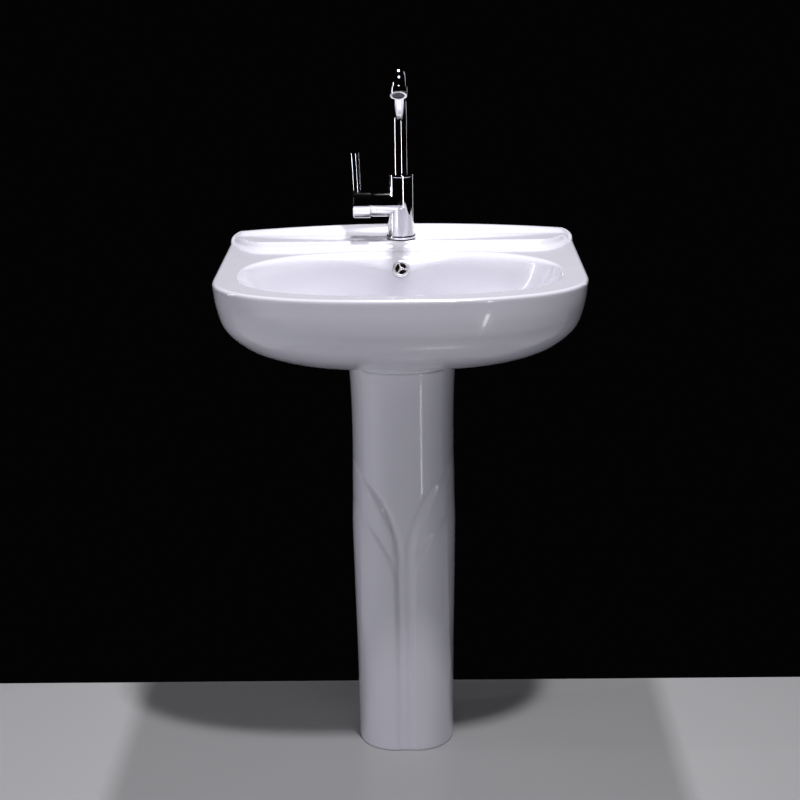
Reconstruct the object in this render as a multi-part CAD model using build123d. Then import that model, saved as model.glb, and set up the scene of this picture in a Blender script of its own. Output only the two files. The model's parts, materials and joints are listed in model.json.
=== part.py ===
from build123d import *
import math
import os

# Pedestal sink: a glazed basin on a hollow pedestal, with a side-lever mixer tap, a press-to-close
# waste and a bottle trap. Millimetres. +Z is up, +X is the user's right, +Y points at the wall.
# The origin is on the floor, below the middle of the basin. One STEP per physical piece.

os.makedirs("parts", exist_ok=True)

# ---------------------------------------------------------------- driving dimensions: basin
BASIN_HALF_WIDTH = 282.5
WALL_Y = 220.0  # plane of the wall, and of the basin's back
FRONT_Y = -220.0
WIDEST_Y = -64.0  # behind this line the sides run straight to the wall
FRONT_EXPONENT = 2.5  # superellipse power of the front in plan
SKIN = 12.0  # thickness of the cast walls
REAR_MARGIN = 60.0  # how far a section runs on behind its back plane, before it is cut
RIM_Z = 815.0
LEDGE_Z = 825.0  # top of the tap ledge
LEDGE_Y = 143.0  # front edge of the tap ledge
LEDGE_STRAIGHT_X = 225.0  # beyond this the front edge curves back
LEDGE_END_Y = 207.0  # where it meets the side of the basin
LIP_MIDDLE_Z = 839.0  # top of the arched back lip, at the middle
LIP_END_Z = 828.0
LIP_DEPTH = 14.0
LIP_SLOPE = 12.0  # depth of the slope in front of the back lip
SEAT_Z = 655.0  # where the basin rests on the pedestal

# Outer shell, from the seat up: height, half width, front edge, widest line.
SHELL_SECTIONS = [
    (SEAT_Z, 74.0, -42.0, 40.0),
    (666.0, 112.0, -70.0, 20.0),
    (680.0, 174.0, -116.0, 0.0),
    (697.0, 216.0, -156.0, -24.0),
    (716.0, 244.0, -184.0, -44.0),
    (745.0, 268.0, -208.0, -60.0),
    (780.0, 278.0, -217.0, -64.0),
    (RIM_Z, BASIN_HALF_WIDTH, FRONT_Y, WIDEST_Y),
]

# Bowl, from its floor up: height, half width, front edge, back edge, widest line.
BOWL_FLOOR_Z = 700.0
BOWL_SECTIONS = [
    (BOWL_FLOOR_Z, 52.0, -24.0, 66.0, 22.0),
    (708.0, 110.0, -76.0, 70.0, 6.0),
    (728.0, 172.0, -132.0, 74.0, -18.0),
    (760.0, 216.0, -168.0, 80.0, -34.0),
    (795.0, 238.0, -184.0, 88.0, -42.0),
    (RIM_Z, 246.0, -188.0, 97.0, -44.0),
    (RIM_Z + 30.0, 248.0, -190.0, 99.0, -44.0),
]

WASTE_Y = 25.0  # axis of the waste, the trap and the pedestal's hollow
WASTE_HOLE_R = 22.6
WASTE_BOSS_R = 42.0
WASTE_BOSS_Z = 672.0
OVERFLOW_Z = 792.0
OVERFLOW_Y = 86.0  # where the overflow's axis meets the back wall of the bowl
OVERFLOW_TILT = 15.0  # the overflow's axis looks up by this many degrees
OVERFLOW_R = 10.5
DUCT_HALF_WIDTH = 30.0
SERVICE_HALF_WIDTH = 120.0  # opening under the ledge, for a spanner and the supply tails
SERVICE_FRONT_Y = 126.0
WALL_BOLT_SPACING = 280.0
WALL_BOLT_Z = 745.0
WALL_BOLT_R = 7.0

# ---------------------------------------------------------------- driving dimensions: pedestal
PEDESTAL_BACK_Y = 118.0
PEDESTAL_WIDEST_Y = 46.0
PEDESTAL_EXPONENT = 2.6
PEDESTAL_SKIN = 12.0
# Height and half width, from the floor up.
PEDESTAL_SECTIONS = [
    (0.0, 80.0),
    (140.0, 80.3),
    (300.0, 82.0),
    (400.0, 83.0),
    (540.0, 81.8),
    (620.0, 83.5),
    (SEAT_Z, 86.5),
]
PEDESTAL_FRONT_RATIO = 1.07  # depth of the rounded front over the half width
FLOOR_LUG = 16.0
FLOOR_SCREW_R = 3.5
FLOOR_SCREW_Y = 92.0

# ---------------------------------------------------------------- driving dimensions: tap
TAP_Y = 165.5
TAP_HOLE_R = 17.5
BASE_SEAL_T = 1.5
BASE_RING_T = 5.0
BASE_RING_R = 24.0
BODY_R = 21.75
BODY_TOP_Z = 932.0
SPOUT_CAP_T = 5.0
SPOUT_R = 12.0
SPOUT_WALL = 1.6
SPOUT_FOOT_Z = 908.0
SPOUT_BORE_R = 14.0
SPOUT_BEND_Z = 1010.0
SPOUT_RISE_R = 94.0  # bend radius on the rising side
SPOUT_FALL_R = 27.0  # bend radius on the falling side
SPOUT_FALL_TURN = 75.0  # degrees that the falling side turns through
MOUTH_DIP = 55.0  # degrees below level at which the mouth looks forward
COLLAR_R = 14.4
COLLAR_L = 9.0
MOUTH_BALL_R = 14.0
MOUTH_SETBACK = 5.0
INSERT_R = 9.6
CLEARANCE = 0.4  # gap between pieces that move apart
RUNNING = 0.06  # radial clearance of a running fit

VALVE_Z = 883.0
NECK_R = 21.5
NECK_END = 39.5  # distances along the valve are measured from the tap's axis
PIVOT = 42.0
DOME_END = 56.0
HUB_R = 23.5
HUB_START = 49.0
HUB_END = 77.0
CARTRIDGE_R = 17.5
CARTRIDGE_START = 8.0
CARTRIDGE_END = 32.0
ROTOR_R = 13.0
STEM_R = 3.5
STEM_END = 71.0
LEVER_R = 7.5
LEVER_AT = 70.0
LEVER_TOP_Z = 967.0
LEVER_LEAN = 2.4

TAIL_R = 5.0
TAIL_X = 3.0
TAIL_SPREAD = 9.5
TAIL_END_Z = 560.0
TAIL_STUB = 30.0  # plain length below the bead
TAIL_BEND_Z = 745.0  # where the tails start to bend apart
TAIL_BEND_R = 35.0
TAIL_END_X = 60.0  # the tails end clear of the waste outlet, one each side
BODY_FOOT_Z = LEDGE_Z + BASE_SEAL_T + BASE_RING_T
STUD_R = 4.0
STUD_X = -10.0
LEDGE_UNDERSIDE_Z = 801.0

# ---------------------------------------------------------------- driving dimensions: waste and trap
TAILPIECE_R = 21.0
FLANGE_R = 31.5
FLANGE_THROAT_R = 19.6
TRAP_R = 33.0
TRAP_TOP_Z = 594.0
TRAP_JOINT_Z = 478.0
TRAP_BOTTOM_Z = 402.0
OUTLET_Z = 520.0
OUTLET_R = 16.0
PIPE_WALL = 1.8
PIPE_STUB = 120.0  # plain length of the outlet, up to its stop bead
BRANCH_END_Y = WASTE_Y + TRAP_R + 26


# ---------------------------------------------------------------- helpers
def rounded_front(half_width, depth, exponent, centre_y, corners=12):
    """Points of the front half of a superellipse in plan, from the right round to the left."""
    points = []
    for step in range(corners + 1):
        angle = math.pi * step / corners
        across = abs(math.cos(angle)) ** (2 / exponent)
        forward = abs(math.sin(angle)) ** (2 / exponent)
        side = 1 if step * 2 < corners else -1
        points.append((side * half_width * across, centre_y - depth * forward))
    return points


def straight_back_section(z, half_width, front, widest, back, exponent):
    """Level face with a rounded front and straight sides, closed well behind the back plane."""
    outline = rounded_front(half_width, widest - front, exponent, widest)
    steps = 4
    side_ys = [widest + (back + REAR_MARGIN - widest) * step / steps for step in range(1, steps + 1)]
    outline += [(-half_width, y) for y in side_ys]
    outline += [(0.0, back + REAR_MARGIN * 2)]
    outline += [(half_width, y) for y in reversed(side_ys)]
    return Pos(0, 0, z) * make_face(Spline(*outline, periodic=True))


def oval_section(z, half_width, front, back, widest, exponent):
    """Level face with a rounded front and a rounded back, widest at one line."""
    front_points = rounded_front(half_width, widest - front, exponent, widest)
    back_points = rounded_front(half_width, widest - back, exponent, widest)
    outline = front_points + back_points[-2:0:-1]
    return Pos(0, 0, z) * make_face(Spline(*outline, periodic=True))


def behind(plane_y, low, high):
    """Everything behind an upright plane, to cut a loft off flat."""
    return block((-400, plane_y, low), (400, plane_y + 400, high))


def upright(radius, low, high, x=0.0, y=0.0):
    """Solid cylinder along Z between two heights."""
    at = Pos(x, y, low)
    return at * Cylinder(radius, high - low, align=(Align.CENTER, Align.CENTER, Align.MIN))


def upright_ring(outer, inner, low, high, x=0.0, y=0.0):
    """Ring along Z between two heights."""
    return upright(outer, low, high, x, y) - upright(inner, low - 1, high + 1, x, y)


def along(start, direction, radius, length):
    """Solid cylinder from a point along a direction."""
    place = Plane(origin=start, z_dir=direction)
    return place * Cylinder(radius, length, align=(Align.CENTER, Align.CENTER, Align.MIN))


def valve_cylinder(radius, start, end):
    """Solid cylinder on the valve's level axis, between two distances from the tap's axis."""
    return along((-start, TAP_Y, VALVE_Z), (-1, 0, 0), radius, end - start)


def valve_ring(outer, inner, start, end):
    """Ring on the valve's level axis."""
    return valve_cylinder(outer, start, end) - valve_cylinder(inner, start - 1, end + 1)


def block(low, high):
    """Box between two corners."""
    size = [b - a for a, b in zip(low, high)]
    middle = [(a + b) / 2 for a, b in zip(low, high)]
    return Pos(*middle) * Box(*size)


def hexagon_bar(across_flats, low, high, x=0.0, y=0.0):
    """Upright six-sided bar."""
    outline = RegularPolygon(across_flats / 2, 6, major_radius=False)
    return Pos(x, y, low) * extrude(outline, high - low)


# ---------------------------------------------------------------- ceramics
def basin_outside():
    """Whole outer volume of the basin below the rim plane."""
    faces = [
        straight_back_section(z, half, front, widest, WALL_Y, FRONT_EXPONENT)
        for z, half, front, widest in SHELL_SECTIONS
    ]
    return loft(faces) - behind(WALL_Y, SEAT_Z - 10, RIM_Z + 10)


def basin_hollow():
    """Space between the skin and the bowl, seen from below and behind."""
    faces = []
    for z, half, front, widest in SHELL_SECTIONS[:-1]:
        faces.append(
            straight_back_section(z, half - SKIN, front + SKIN, widest, WALL_Y - SKIN, FRONT_EXPONENT)
        )
    half, front, widest = SHELL_SECTIONS[-1][1:]
    faces.append(
        straight_back_section(
            LEDGE_UNDERSIDE_Z, half - SKIN, front + SKIN, widest, WALL_Y - SKIN, FRONT_EXPONENT
        )
    )
    below_seat = Pos(0, 0, SEAT_Z - 20) * extrude(faces[0].moved(Location((0, 0, -SEAT_Z))), 21)
    hollow = loft(faces) + below_seat
    return hollow - behind(WALL_Y - SKIN, SEAT_Z - 30, RIM_Z)


def bowl_space(grow=0.0):
    """Bowl's own space, or the same space grown by a wall's thickness."""
    faces = []
    for z, half, front, back, widest in BOWL_SECTIONS:
        faces.append(
            oval_section(z - grow, half + grow, front - grow, back + grow, widest, FRONT_EXPONENT)
        )
    return loft(faces)


def overflow_axis():
    """Direction in which the overflow hole looks, out into the bowl."""
    tilt = math.radians(OVERFLOW_TILT)
    return Vector(0, -math.cos(tilt), math.sin(tilt))


def overflow_duct(margin):
    """Upright duct behind the bowl, from the overflow down to the waste hole."""
    rear = OVERFLOW_Y + 36 - margin
    outline = [
        (OVERFLOW_Y + 12 + margin, OVERFLOW_Z + 16 - margin),
        (rear, OVERFLOW_Z + 16 - margin),
        (rear, 700 + margin),
        (WASTE_Y + 50, WASTE_BOSS_Z + margin * 0.7),
        (WASTE_Y + 10, WASTE_BOSS_Z + margin * 0.7),
        (WASTE_Y + 10, WASTE_BOSS_Z + 22 - margin),
        (WASTE_Y + 50, WASTE_BOSS_Z + 22 - margin),
        (OVERFLOW_Y + 12 + margin, 712 - margin),
    ]
    face = make_face(Polyline(*[(0, y, z) for y, z in outline], close=True))
    return extrude(face, DUCT_HALF_WIDTH - margin, dir=(1, 0, 0), both=True)


def tap_ledge():
    """Raised platform for the tap; its front edge curves back to the rear corners."""
    half = BASIN_HALF_WIDTH
    front = Line((-LEDGE_STRAIGHT_X, LEDGE_Y), (LEDGE_STRAIGHT_X, LEDGE_Y))
    right = TangentArc((LEDGE_STRAIGHT_X, LEDGE_Y), (half, LEDGE_END_Y), tangent=(1, 0))
    back = Polyline((half, LEDGE_END_Y), (half, WALL_Y), (-half, WALL_Y), (-half, LEDGE_END_Y))
    left = TangentArc((-LEDGE_STRAIGHT_X, LEDGE_Y), (-half, LEDGE_END_Y), tangent=(-1, 0))
    outline = Wire([front, right, *back.edges(), left])
    return Pos(0, 0, LEDGE_UNDERSIDE_Z + 2) * extrude(make_face(outline), LEDGE_Z - LEDGE_UNDERSIDE_Z - 2)


def back_lip():
    """Arched upstand along the wall, with a slope down to the ledge."""
    half = BASIN_HALF_WIDTH
    arch = ThreePointArc((half, LIP_END_Z), (0, LIP_MIDDLE_Z), (-half, LIP_END_Z))
    foot = Polyline((-half, LIP_END_Z), (-half, LEDGE_Z - 5), (half, LEDGE_Z - 5), (half, LIP_END_Z))
    wall = Plane(origin=(0, WALL_Y, 0), x_dir=(1, 0, 0), z_dir=(0, -1, 0))
    slab = extrude(wall * make_face(Wire([arch, *foot.edges()])), LIP_DEPTH + LIP_SLOPE)
    slope = [
        (WALL_Y - LIP_DEPTH, LIP_MIDDLE_Z + 1),
        (WALL_Y - LIP_DEPTH - LIP_SLOPE - 1, LIP_MIDDLE_Z + 1),
        (WALL_Y - LIP_DEPTH - LIP_SLOPE - 1, LEDGE_Z),
        (WALL_Y - LIP_DEPTH - LIP_SLOPE, LEDGE_Z),
    ]
    wedge = make_face(Polyline(*[(0, y, z) for y, z in slope], close=True))
    return slab - extrude(wedge, half + 1, dir=(1, 0, 0), both=True)


def basin():
    """Glazed basin: shell, bowl, ledge, back lip, duct and holes."""
    boss = upright(WASTE_BOSS_R, WASTE_BOSS_Z, BOWL_FLOOR_Z + 2, 0, WASTE_Y)
    hollow = basin_hollow() - bowl_space(SKIN) - overflow_duct(0) - boss
    service = block(
        (-SERVICE_HALF_WIDTH, SERVICE_FRONT_Y, SEAT_Z - 10),
        (SERVICE_HALF_WIDTH, WALL_Y - SKIN, 730),
    )
    solid = basin_outside() + tap_ledge() + back_lip() - hollow - service - bowl_space()
    solid -= overflow_duct(8)
    solid -= upright(WASTE_HOLE_R, SEAT_Z, BOWL_FLOOR_Z + 10, 0, WASTE_Y)
    solid -= upright(TAP_HOLE_R, LEDGE_UNDERSIDE_Z - 20, LIP_MIDDLE_Z, 0, TAP_Y)
    mouth = Vector(0, OVERFLOW_Y, OVERFLOW_Z) + overflow_axis() * 14
    solid -= along(mouth, overflow_axis() * -1, OVERFLOW_R, 36)
    for side in (-1, 1):
        bolt = (side * WALL_BOLT_SPACING / 2, WALL_Y + 1, WALL_BOLT_Z)
        solid -= along(bolt, (0, -1, 0), WALL_BOLT_R, SKIN + 10)
    return solid


def pedestal():
    """Hollow column with a rounded front, open at the back, with two screw lugs at the floor."""
    outside = []
    inside = []
    for z, half in PEDESTAL_SECTIONS:
        front = PEDESTAL_WIDEST_Y - half * PEDESTAL_FRONT_RATIO
        outside.append(
            straight_back_section(z, half, front, PEDESTAL_WIDEST_Y, PEDESTAL_BACK_Y, PEDESTAL_EXPONENT)
        )
        inside.append(
            straight_back_section(
                z,
                half - PEDESTAL_SKIN,
                front + PEDESTAL_SKIN,
                PEDESTAL_WIDEST_Y,
                PEDESTAL_BACK_Y + 10,
                PEDESTAL_EXPONENT,
            )
        )
    column = loft(outside) - loft(inside) - behind(PEDESTAL_BACK_Y, -10, SEAT_Z + 10)
    for side in (-1, 1):
        reach = PEDESTAL_SECTIONS[0][1] - PEDESTAL_SKIN / 2
        corner = sorted((side * reach, side * (reach - PEDESTAL_SKIN - FLOOR_LUG)))
        lug = block((corner[0], FLOOR_SCREW_Y - 14, 0), (corner[1], FLOOR_SCREW_Y + 14, 14))
        screw_x = side * (reach - PEDESTAL_SKIN / 2 - FLOOR_LUG / 2 - 2)
        column += lug
        column -= upright(FLOOR_SCREW_R, -1, 20, screw_x, FLOOR_SCREW_Y)
    return column


def overflow_grille():
    """Ring and three-armed grille, seated in the overflow hole."""
    centre = Vector(0, OVERFLOW_Y, OVERFLOW_Z)
    out = overflow_axis()
    face_at = centre + out * 1.5
    ring = along(face_at, out, 13.5, 2.5) - along(face_at - out, out, 9.0, 6)
    sleeve = along(face_at + out * -12, out, OVERFLOW_R, 12) - along(face_at + out * -13, out, 9.0, 16)
    hub = along(face_at, out, 2.6, 2.2)
    grille = ring + sleeve + hub
    place = Plane(origin=face_at, x_dir=(1, 0, 0), z_dir=out)
    for turn in (110, 230, 350):
        arm = Pos(0, 0, 0) * Box(9.6, 1.8, 1.8, align=(Align.MIN, Align.CENTER, Align.MIN))
        grille += place * (Rot(0, 0, turn) * arm)
    return grille


# ---------------------------------------------------------------- tap: body and fixings
def tap_base_seal():
    """Rubber ring between the ledge and the foot ring."""
    return upright_ring(23, TAP_HOLE_R, LEDGE_Z, LEDGE_Z + BASE_SEAL_T, 0, TAP_Y)


def tap_base_ring():
    """Chrome foot ring."""
    low = LEDGE_Z + BASE_SEAL_T
    ring = upright_ring(BASE_RING_R, 16, low, low + BASE_RING_T, 0, TAP_Y)
    top_edge = ring.edges().filter_by(GeomType.CIRCLE).group_by(Axis.Z)[-1].sort_by(SortBy.RADIUS)[-1]
    return fillet(top_edge, 1.5)


def tap_body():
    """Upright casting with a side neck, bored for the cartridge, the spout and the tails."""
    cap_z = BODY_TOP_Z - SPOUT_CAP_T
    body = upright(BODY_R, BODY_FOOT_Z, cap_z, 0, TAP_Y) + valve_cylinder(NECK_R, 0, NECK_END)
    body -= valve_cylinder(CARTRIDGE_R, CARTRIDGE_START, NECK_END + 1)
    body -= upright(SPOUT_BORE_R, SPOUT_FOOT_Z - 4, cap_z + 1, 0, TAP_Y)
    body -= upright(STUD_R, BODY_FOOT_Z - 1, BODY_FOOT_Z + 16, STUD_X, TAP_Y)
    for side in (-1, 1):
        y = TAP_Y + side * TAIL_SPREAD
        body -= upright(TAIL_R, BODY_FOOT_Z - 1, BODY_FOOT_Z + 12, TAIL_X, y)
        body -= upright(3.0, BODY_FOOT_Z, VALVE_Z + 2, TAIL_X, y)
        body -= along((TAIL_X, y, VALVE_Z), (-1, 0, 0), 2.6, CARTRIDGE_START + TAIL_X + 1)
    body -= along((TAIL_X, TAP_Y, VALVE_Z + 8), (-1, 0, 0), 3.0, CARTRIDGE_START + TAIL_X + 1)
    body -= upright(3.0, VALVE_Z + 8, SPOUT_FOOT_Z, TAIL_X, TAP_Y)
    return body


def supply_tail(side):
    """Bent copper pipe from the body down to its plain end, with a bead above the end."""
    y = TAP_Y + side * TAIL_SPREAD
    end_x = side * TAIL_END_X
    bead_z = TAIL_END_Z + TAIL_STUB
    top_z = BODY_FOOT_Z + 12
    fall = 90
    corners = [(TAIL_X, y, top_z), (TAIL_X, y, TAIL_BEND_Z), (end_x, y, TAIL_BEND_Z - fall), (end_x, y, TAIL_END_Z)]
    path = FilletPolyline(*corners, radius=TAIL_BEND_R)
    start = Plane(origin=corners[0], z_dir=(0, 0, -1))
    pipe = sweep(start * Circle(TAIL_R), path=path)
    pipe += upright(TAIL_R + 0.8, bead_z, bead_z + 3, end_x, y)
    return pipe - sweep(start * Circle(TAIL_R - 1), path=path)


def horseshoe(low, high):
    """Clamp plate with a mouth that passes the two tails."""
    disc = upright(26, low, high, 0, TAP_Y)
    mouth = block((-3, TAP_Y - 15.5, low - 1), (30, TAP_Y + 15.5, high + 1))
    return disc - mouth - upright(STUD_R, low - 1, high + 1, STUD_X, TAP_Y)


def fixing_stud():
    """Threaded stud from the body down through the ledge."""
    return upright(STUD_R, LEDGE_UNDERSIDE_Z - 36, BODY_FOOT_Z + 16, STUD_X, TAP_Y)


def fixing_nut():
    """Long six-sided nut on the stud."""
    low = LEDGE_UNDERSIDE_Z - 26
    nut = hexagon_bar(13, low, LEDGE_UNDERSIDE_Z - 6, STUD_X, TAP_Y)
    return nut - upright(STUD_R, low - 1, LEDGE_UNDERSIDE_Z, STUD_X, TAP_Y)


# ---------------------------------------------------------------- tap: spout
def spout_path():
    """Riser, rising bend and falling bend, ending where the collar starts."""
    turn = math.radians(SPOUT_FALL_TURN)
    top_y = TAP_Y - SPOUT_RISE_R
    top_z = SPOUT_BEND_Z + SPOUT_RISE_R
    end = (top_y - SPOUT_FALL_R * math.sin(turn), top_z - SPOUT_FALL_R * (1 - math.cos(turn)))
    foot = (0, TAP_Y, SPOUT_FOOT_Z)
    riser = Line(foot, (0, TAP_Y, SPOUT_BEND_Z))
    rise = TangentArc((0, TAP_Y, SPOUT_BEND_Z), (0, top_y, top_z), tangent=(0, 0, 1))
    fall = TangentArc((0, top_y, top_z), (0, end[0], end[1]), tangent=(0, -1, 0))
    return Wire([riser, rise, fall])


def spout():
    """Chrome tube with a groove for the snap ring."""
    path = spout_path()
    start = Plane(origin=(0, TAP_Y, SPOUT_FOOT_Z), z_dir=(0, 0, 1))
    outer = sweep(start * Circle(SPOUT_R), path=path)
    inner = sweep(start * Circle(SPOUT_R - SPOUT_WALL), path=path)
    groove = upright_ring(SPOUT_R + 1, SPOUT_R - 0.8, SPOUT_FOOT_Z + 1, SPOUT_FOOT_Z + 2.5, 0, TAP_Y)
    return outer - inner - groove


def spout_clip():
    """Split snap ring in the riser's groove."""
    low = SPOUT_FOOT_Z + 1
    ring = upright_ring(SPOUT_BORE_R - CLEARANCE, SPOUT_R - 0.8, low, low + 1.5, 0, TAP_Y)
    gap = block((-2, TAP_Y, SPOUT_FOOT_Z), (2, TAP_Y + 20, SPOUT_FOOT_Z + 4))
    return ring - gap


def spout_bush():
    """Plastic bearing in which the riser turns."""
    low = SPOUT_FOOT_Z + 11
    return upright_ring(SPOUT_BORE_R, SPOUT_R + RUNNING, low, BODY_TOP_Z - SPOUT_CAP_T, 0, TAP_Y)


def spout_seals():
    """Two rubber rings between the riser and the body."""
    low = SPOUT_FOOT_Z + 4
    rings = [
        upright_ring(SPOUT_BORE_R, SPOUT_R + CLEARANCE, low + step, low + step + 2.2, 0, TAP_Y)
        for step in (0, 3.4)
    ]
    return Compound(children=rings)


def spout_cap():
    """Chrome ring that closes the top of the body round the riser."""
    low = BODY_TOP_Z - SPOUT_CAP_T
    ring = upright_ring(BODY_R, SPOUT_R + CLEARANCE, low, BODY_TOP_Z, 0, TAP_Y)
    top_edge = ring.edges().filter_by(GeomType.CIRCLE).group_by(Axis.Z)[-1].sort_by(SortBy.RADIUS)[-1]
    return fillet(top_edge, 2.0)


def mouth_frame():
    """Spout's end point, the direction it points and the direction in which the mouth looks."""
    end = spout_path() @ 1
    flow = (spout_path() % 1).normalized()
    dip = math.radians(MOUTH_DIP)
    return end, flow, Vector(0, -math.cos(dip), -math.sin(dip))


def aerator_housing():
    """Collar on the spout's end, with a ball nose cut by the tilted mouth."""
    end, flow, look = mouth_frame()
    nose = end + flow * COLLAR_L
    housing = along(end, flow, COLLAR_R, COLLAR_L) + Pos(*nose) * Sphere(MOUTH_BALL_R)
    housing -= along(nose + look * MOUTH_SETBACK, look, 40, 40)
    housing -= along(end + flow * -30, flow, SPOUT_R + 0.5, 30)
    housing -= along(end + flow * -1, flow, SPOUT_R - SPOUT_WALL, 6)
    housing -= along(nose + look * (MOUTH_SETBACK + 1), look * -1, INSERT_R, 10)
    return housing


def aerator_insert():
    """Mesh insert, set back in the mouth."""
    end, flow, look = mouth_frame()
    face = end + flow * COLLAR_L + look * (MOUTH_SETBACK - 1)
    insert = along(face, look * -1, INSERT_R, 6)
    place = Plane(origin=face, x_dir=(1, 0, 0), z_dir=look)
    pitch = 3.4
    holes = []
    for row in range(-2, 3):
        for column in range(-2, 3):
            if math.hypot(row, column) * pitch + 1.2 < INSERT_R - 1:
                holes.append(place * (Pos(row * pitch, column * pitch, -7) * Cylinder(1.1, 20)))
    return insert - holes


def aerator_washer():
    """Rubber washer behind the insert."""
    end, flow, look = mouth_frame()
    seat = end + flow * COLLAR_L + look * (MOUTH_SETBACK - 7)
    return along(seat, look * -1, INSERT_R, 2) - along(seat + look, look * -1, 6, 4)


# ---------------------------------------------------------------- tap: valve and handle
def cartridge_body():
    """Plastic cup of the cartridge, with three ports in its floor."""
    cup = valve_cylinder(CARTRIDGE_R, CARTRIDGE_START, CARTRIDGE_END)
    cup -= valve_cylinder(ROTOR_R, CARTRIDGE_START + 4, CARTRIDGE_END + 1)
    return cup - port_holes(CARTRIDGE_START - 1, 6)


def port_holes(start, length):
    """Hot, cold and mixed ports, parallel to the valve's axis."""
    holes = []
    for y, z in ((-TAIL_SPREAD, 0), (TAIL_SPREAD, 0), (0, 8)):
        holes.append(along((-start, TAP_Y + y, VALVE_Z + z), (-1, 0, 0), 2.6, length))
    return holes


def cartridge_fixed_disc():
    """Ceramic disc with the three ports."""
    start = CARTRIDGE_START + 4
    return valve_cylinder(ROTOR_R, start, start + 4) - port_holes(start - 1, 6)


def cartridge_moving_disc():
    """Ceramic disc that turns over the ports, with a mixing pocket in its face."""
    start = CARTRIDGE_START + 8.1
    disc = valve_cylinder(ROTOR_R - 1.5, start, start + 4)
    return disc - valve_cylinder(7, start - 1, start + 2)


def cartridge_rotor():
    """Turning block with two cheeks that hold the stem's pin."""
    start = CARTRIDGE_START + 12.1
    rotor = valve_cylinder(ROTOR_R - RUNNING, start, 30)
    for side in (-1, 1):
        ys = sorted((TAP_Y + side * 4, TAP_Y + side * 8))
        rotor += block((-PIVOT - 4, ys[0], VALVE_Z - 7), (-29, ys[1], VALVE_Z + 7))
    return rotor - along((-PIVOT, TAP_Y - 9, VALVE_Z), (0, 1, 0), 2.0, 18)


def cartridge_pin():
    """Pivot pin through the cheeks and the stem."""
    return along((-PIVOT, TAP_Y - 8, VALVE_Z), (0, 1, 0), 2.0, 16)


def cartridge_stem():
    """Round stem that tilts on the pin and carries the handle."""
    stem = valve_cylinder(STEM_R, PIVOT - 7, STEM_END)
    return stem - along((-PIVOT, TAP_Y - 9, VALVE_Z), (0, 1, 0), 2.0 + RUNNING, 18)


def cartridge_nut():
    """Brass ring that holds the cartridge in the neck."""
    return valve_ring(CARTRIDGE_R, ROTOR_R + CLEARANCE, CARTRIDGE_END, NECK_END)


def valve_ball(radius):
    """Ball centred on the pivot of the lever."""
    return Pos(-PIVOT, TAP_Y, VALVE_Z) * Sphere(radius)


def valve_dome():
    """Chrome dome over the cartridge, round about the lever's pivot."""
    outer, inner = NECK_R, NECK_R - 3
    reach = DOME_END - PIVOT
    outer_start = math.degrees(math.acos(reach / outer))
    inner_start = math.degrees(math.acos(reach / inner))
    outer_arc = CenterArc((0, 0), outer, outer_start, 90 - outer_start)
    inner_arc = CenterArc((0, 0), inner, inner_start, 90 - inner_start)
    seat = NECK_END - PIVOT
    rim = Line(outer_arc @ 0, inner_arc @ 0)
    back = Polyline(outer_arc @ 1, (seat, outer), (seat, inner), inner_arc @ 1)
    profile = make_face(Wire([outer_arc, inner_arc, rim, *back.edges()]))
    place = Plane(origin=(-PIVOT, TAP_Y, VALVE_Z), x_dir=(-1, 0, 0), z_dir=(0, -1, 0))
    return revolve(place * profile, Axis((0, TAP_Y, VALVE_Z), (1, 0, 0)))


def handle_hub():
    """Chrome cup over the dome, with a socket for the stem and a hole for the lever."""
    cup = valve_cylinder(HUB_R, HUB_START, HUB_END)
    outer_edge = cup.edges().filter_by(GeomType.CIRCLE).sort_by(Axis.X)[0]
    cup = fillet(outer_edge, 1.2)
    cup -= valve_ball(NECK_R + CLEARANCE)
    cup -= valve_cylinder(STEM_R, HUB_START, STEM_END)
    cup -= lever_spigot()
    grub_at = (-STEM_END + 4, TAP_Y, VALVE_Z - HUB_R - 1)
    return cup - along(grub_at, (0, 0, 1), 2.2, HUB_R + 1 - STEM_R + 0.4)


def lever_axis():
    """Foot point of the lever on the valve's axis, and the lever's direction."""
    lean = math.radians(LEVER_LEAN)
    return Vector(-LEVER_AT, TAP_Y, VALVE_Z), Vector(-math.sin(lean), 0, math.cos(lean))


def lever_spigot():
    """Screwed foot of the lever inside the hub."""
    foot, up = lever_axis()
    return along(foot + up * 13, up, 4.0, HUB_R - 12)


def lever_rod():
    """Round lever with a saddle foot on the hub."""
    foot, up = lever_axis()
    length = (LEVER_TOP_Z - VALVE_Z) / up.Z
    rod = along(foot + up * 18, up, LEVER_R, length - 18)
    top_edge = rod.edges().filter_by(GeomType.CIRCLE).sort_by(Axis.Z)[-1]
    rod = fillet(top_edge, 1.0)
    rod -= valve_cylinder(HUB_R, HUB_START - 10, HUB_END + 10)
    return rod + lever_spigot()


def handle_screw():
    """Grub screw that clamps the hub to the stem."""
    top = VALVE_Z - STEM_R + 0.02
    screw = along((-STEM_END + 4, TAP_Y, top - 8), (0, 0, 1), 2.2, 8)
    screw -= valve_cylinder(STEM_R, HUB_START, STEM_END)
    socket = Pos(-STEM_END + 4, TAP_Y, top - 9) * extrude(RegularPolygon(1.0, 6, major_radius=False), 4)
    return screw - socket


# ---------------------------------------------------------------- waste
def waste_top_seal():
    """Thin rubber ring under the flange."""
    return upright_ring(30, WASTE_HOLE_R, BOWL_FLOOR_Z, BOWL_FLOOR_Z + 1.2, 0, WASTE_Y)


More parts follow.
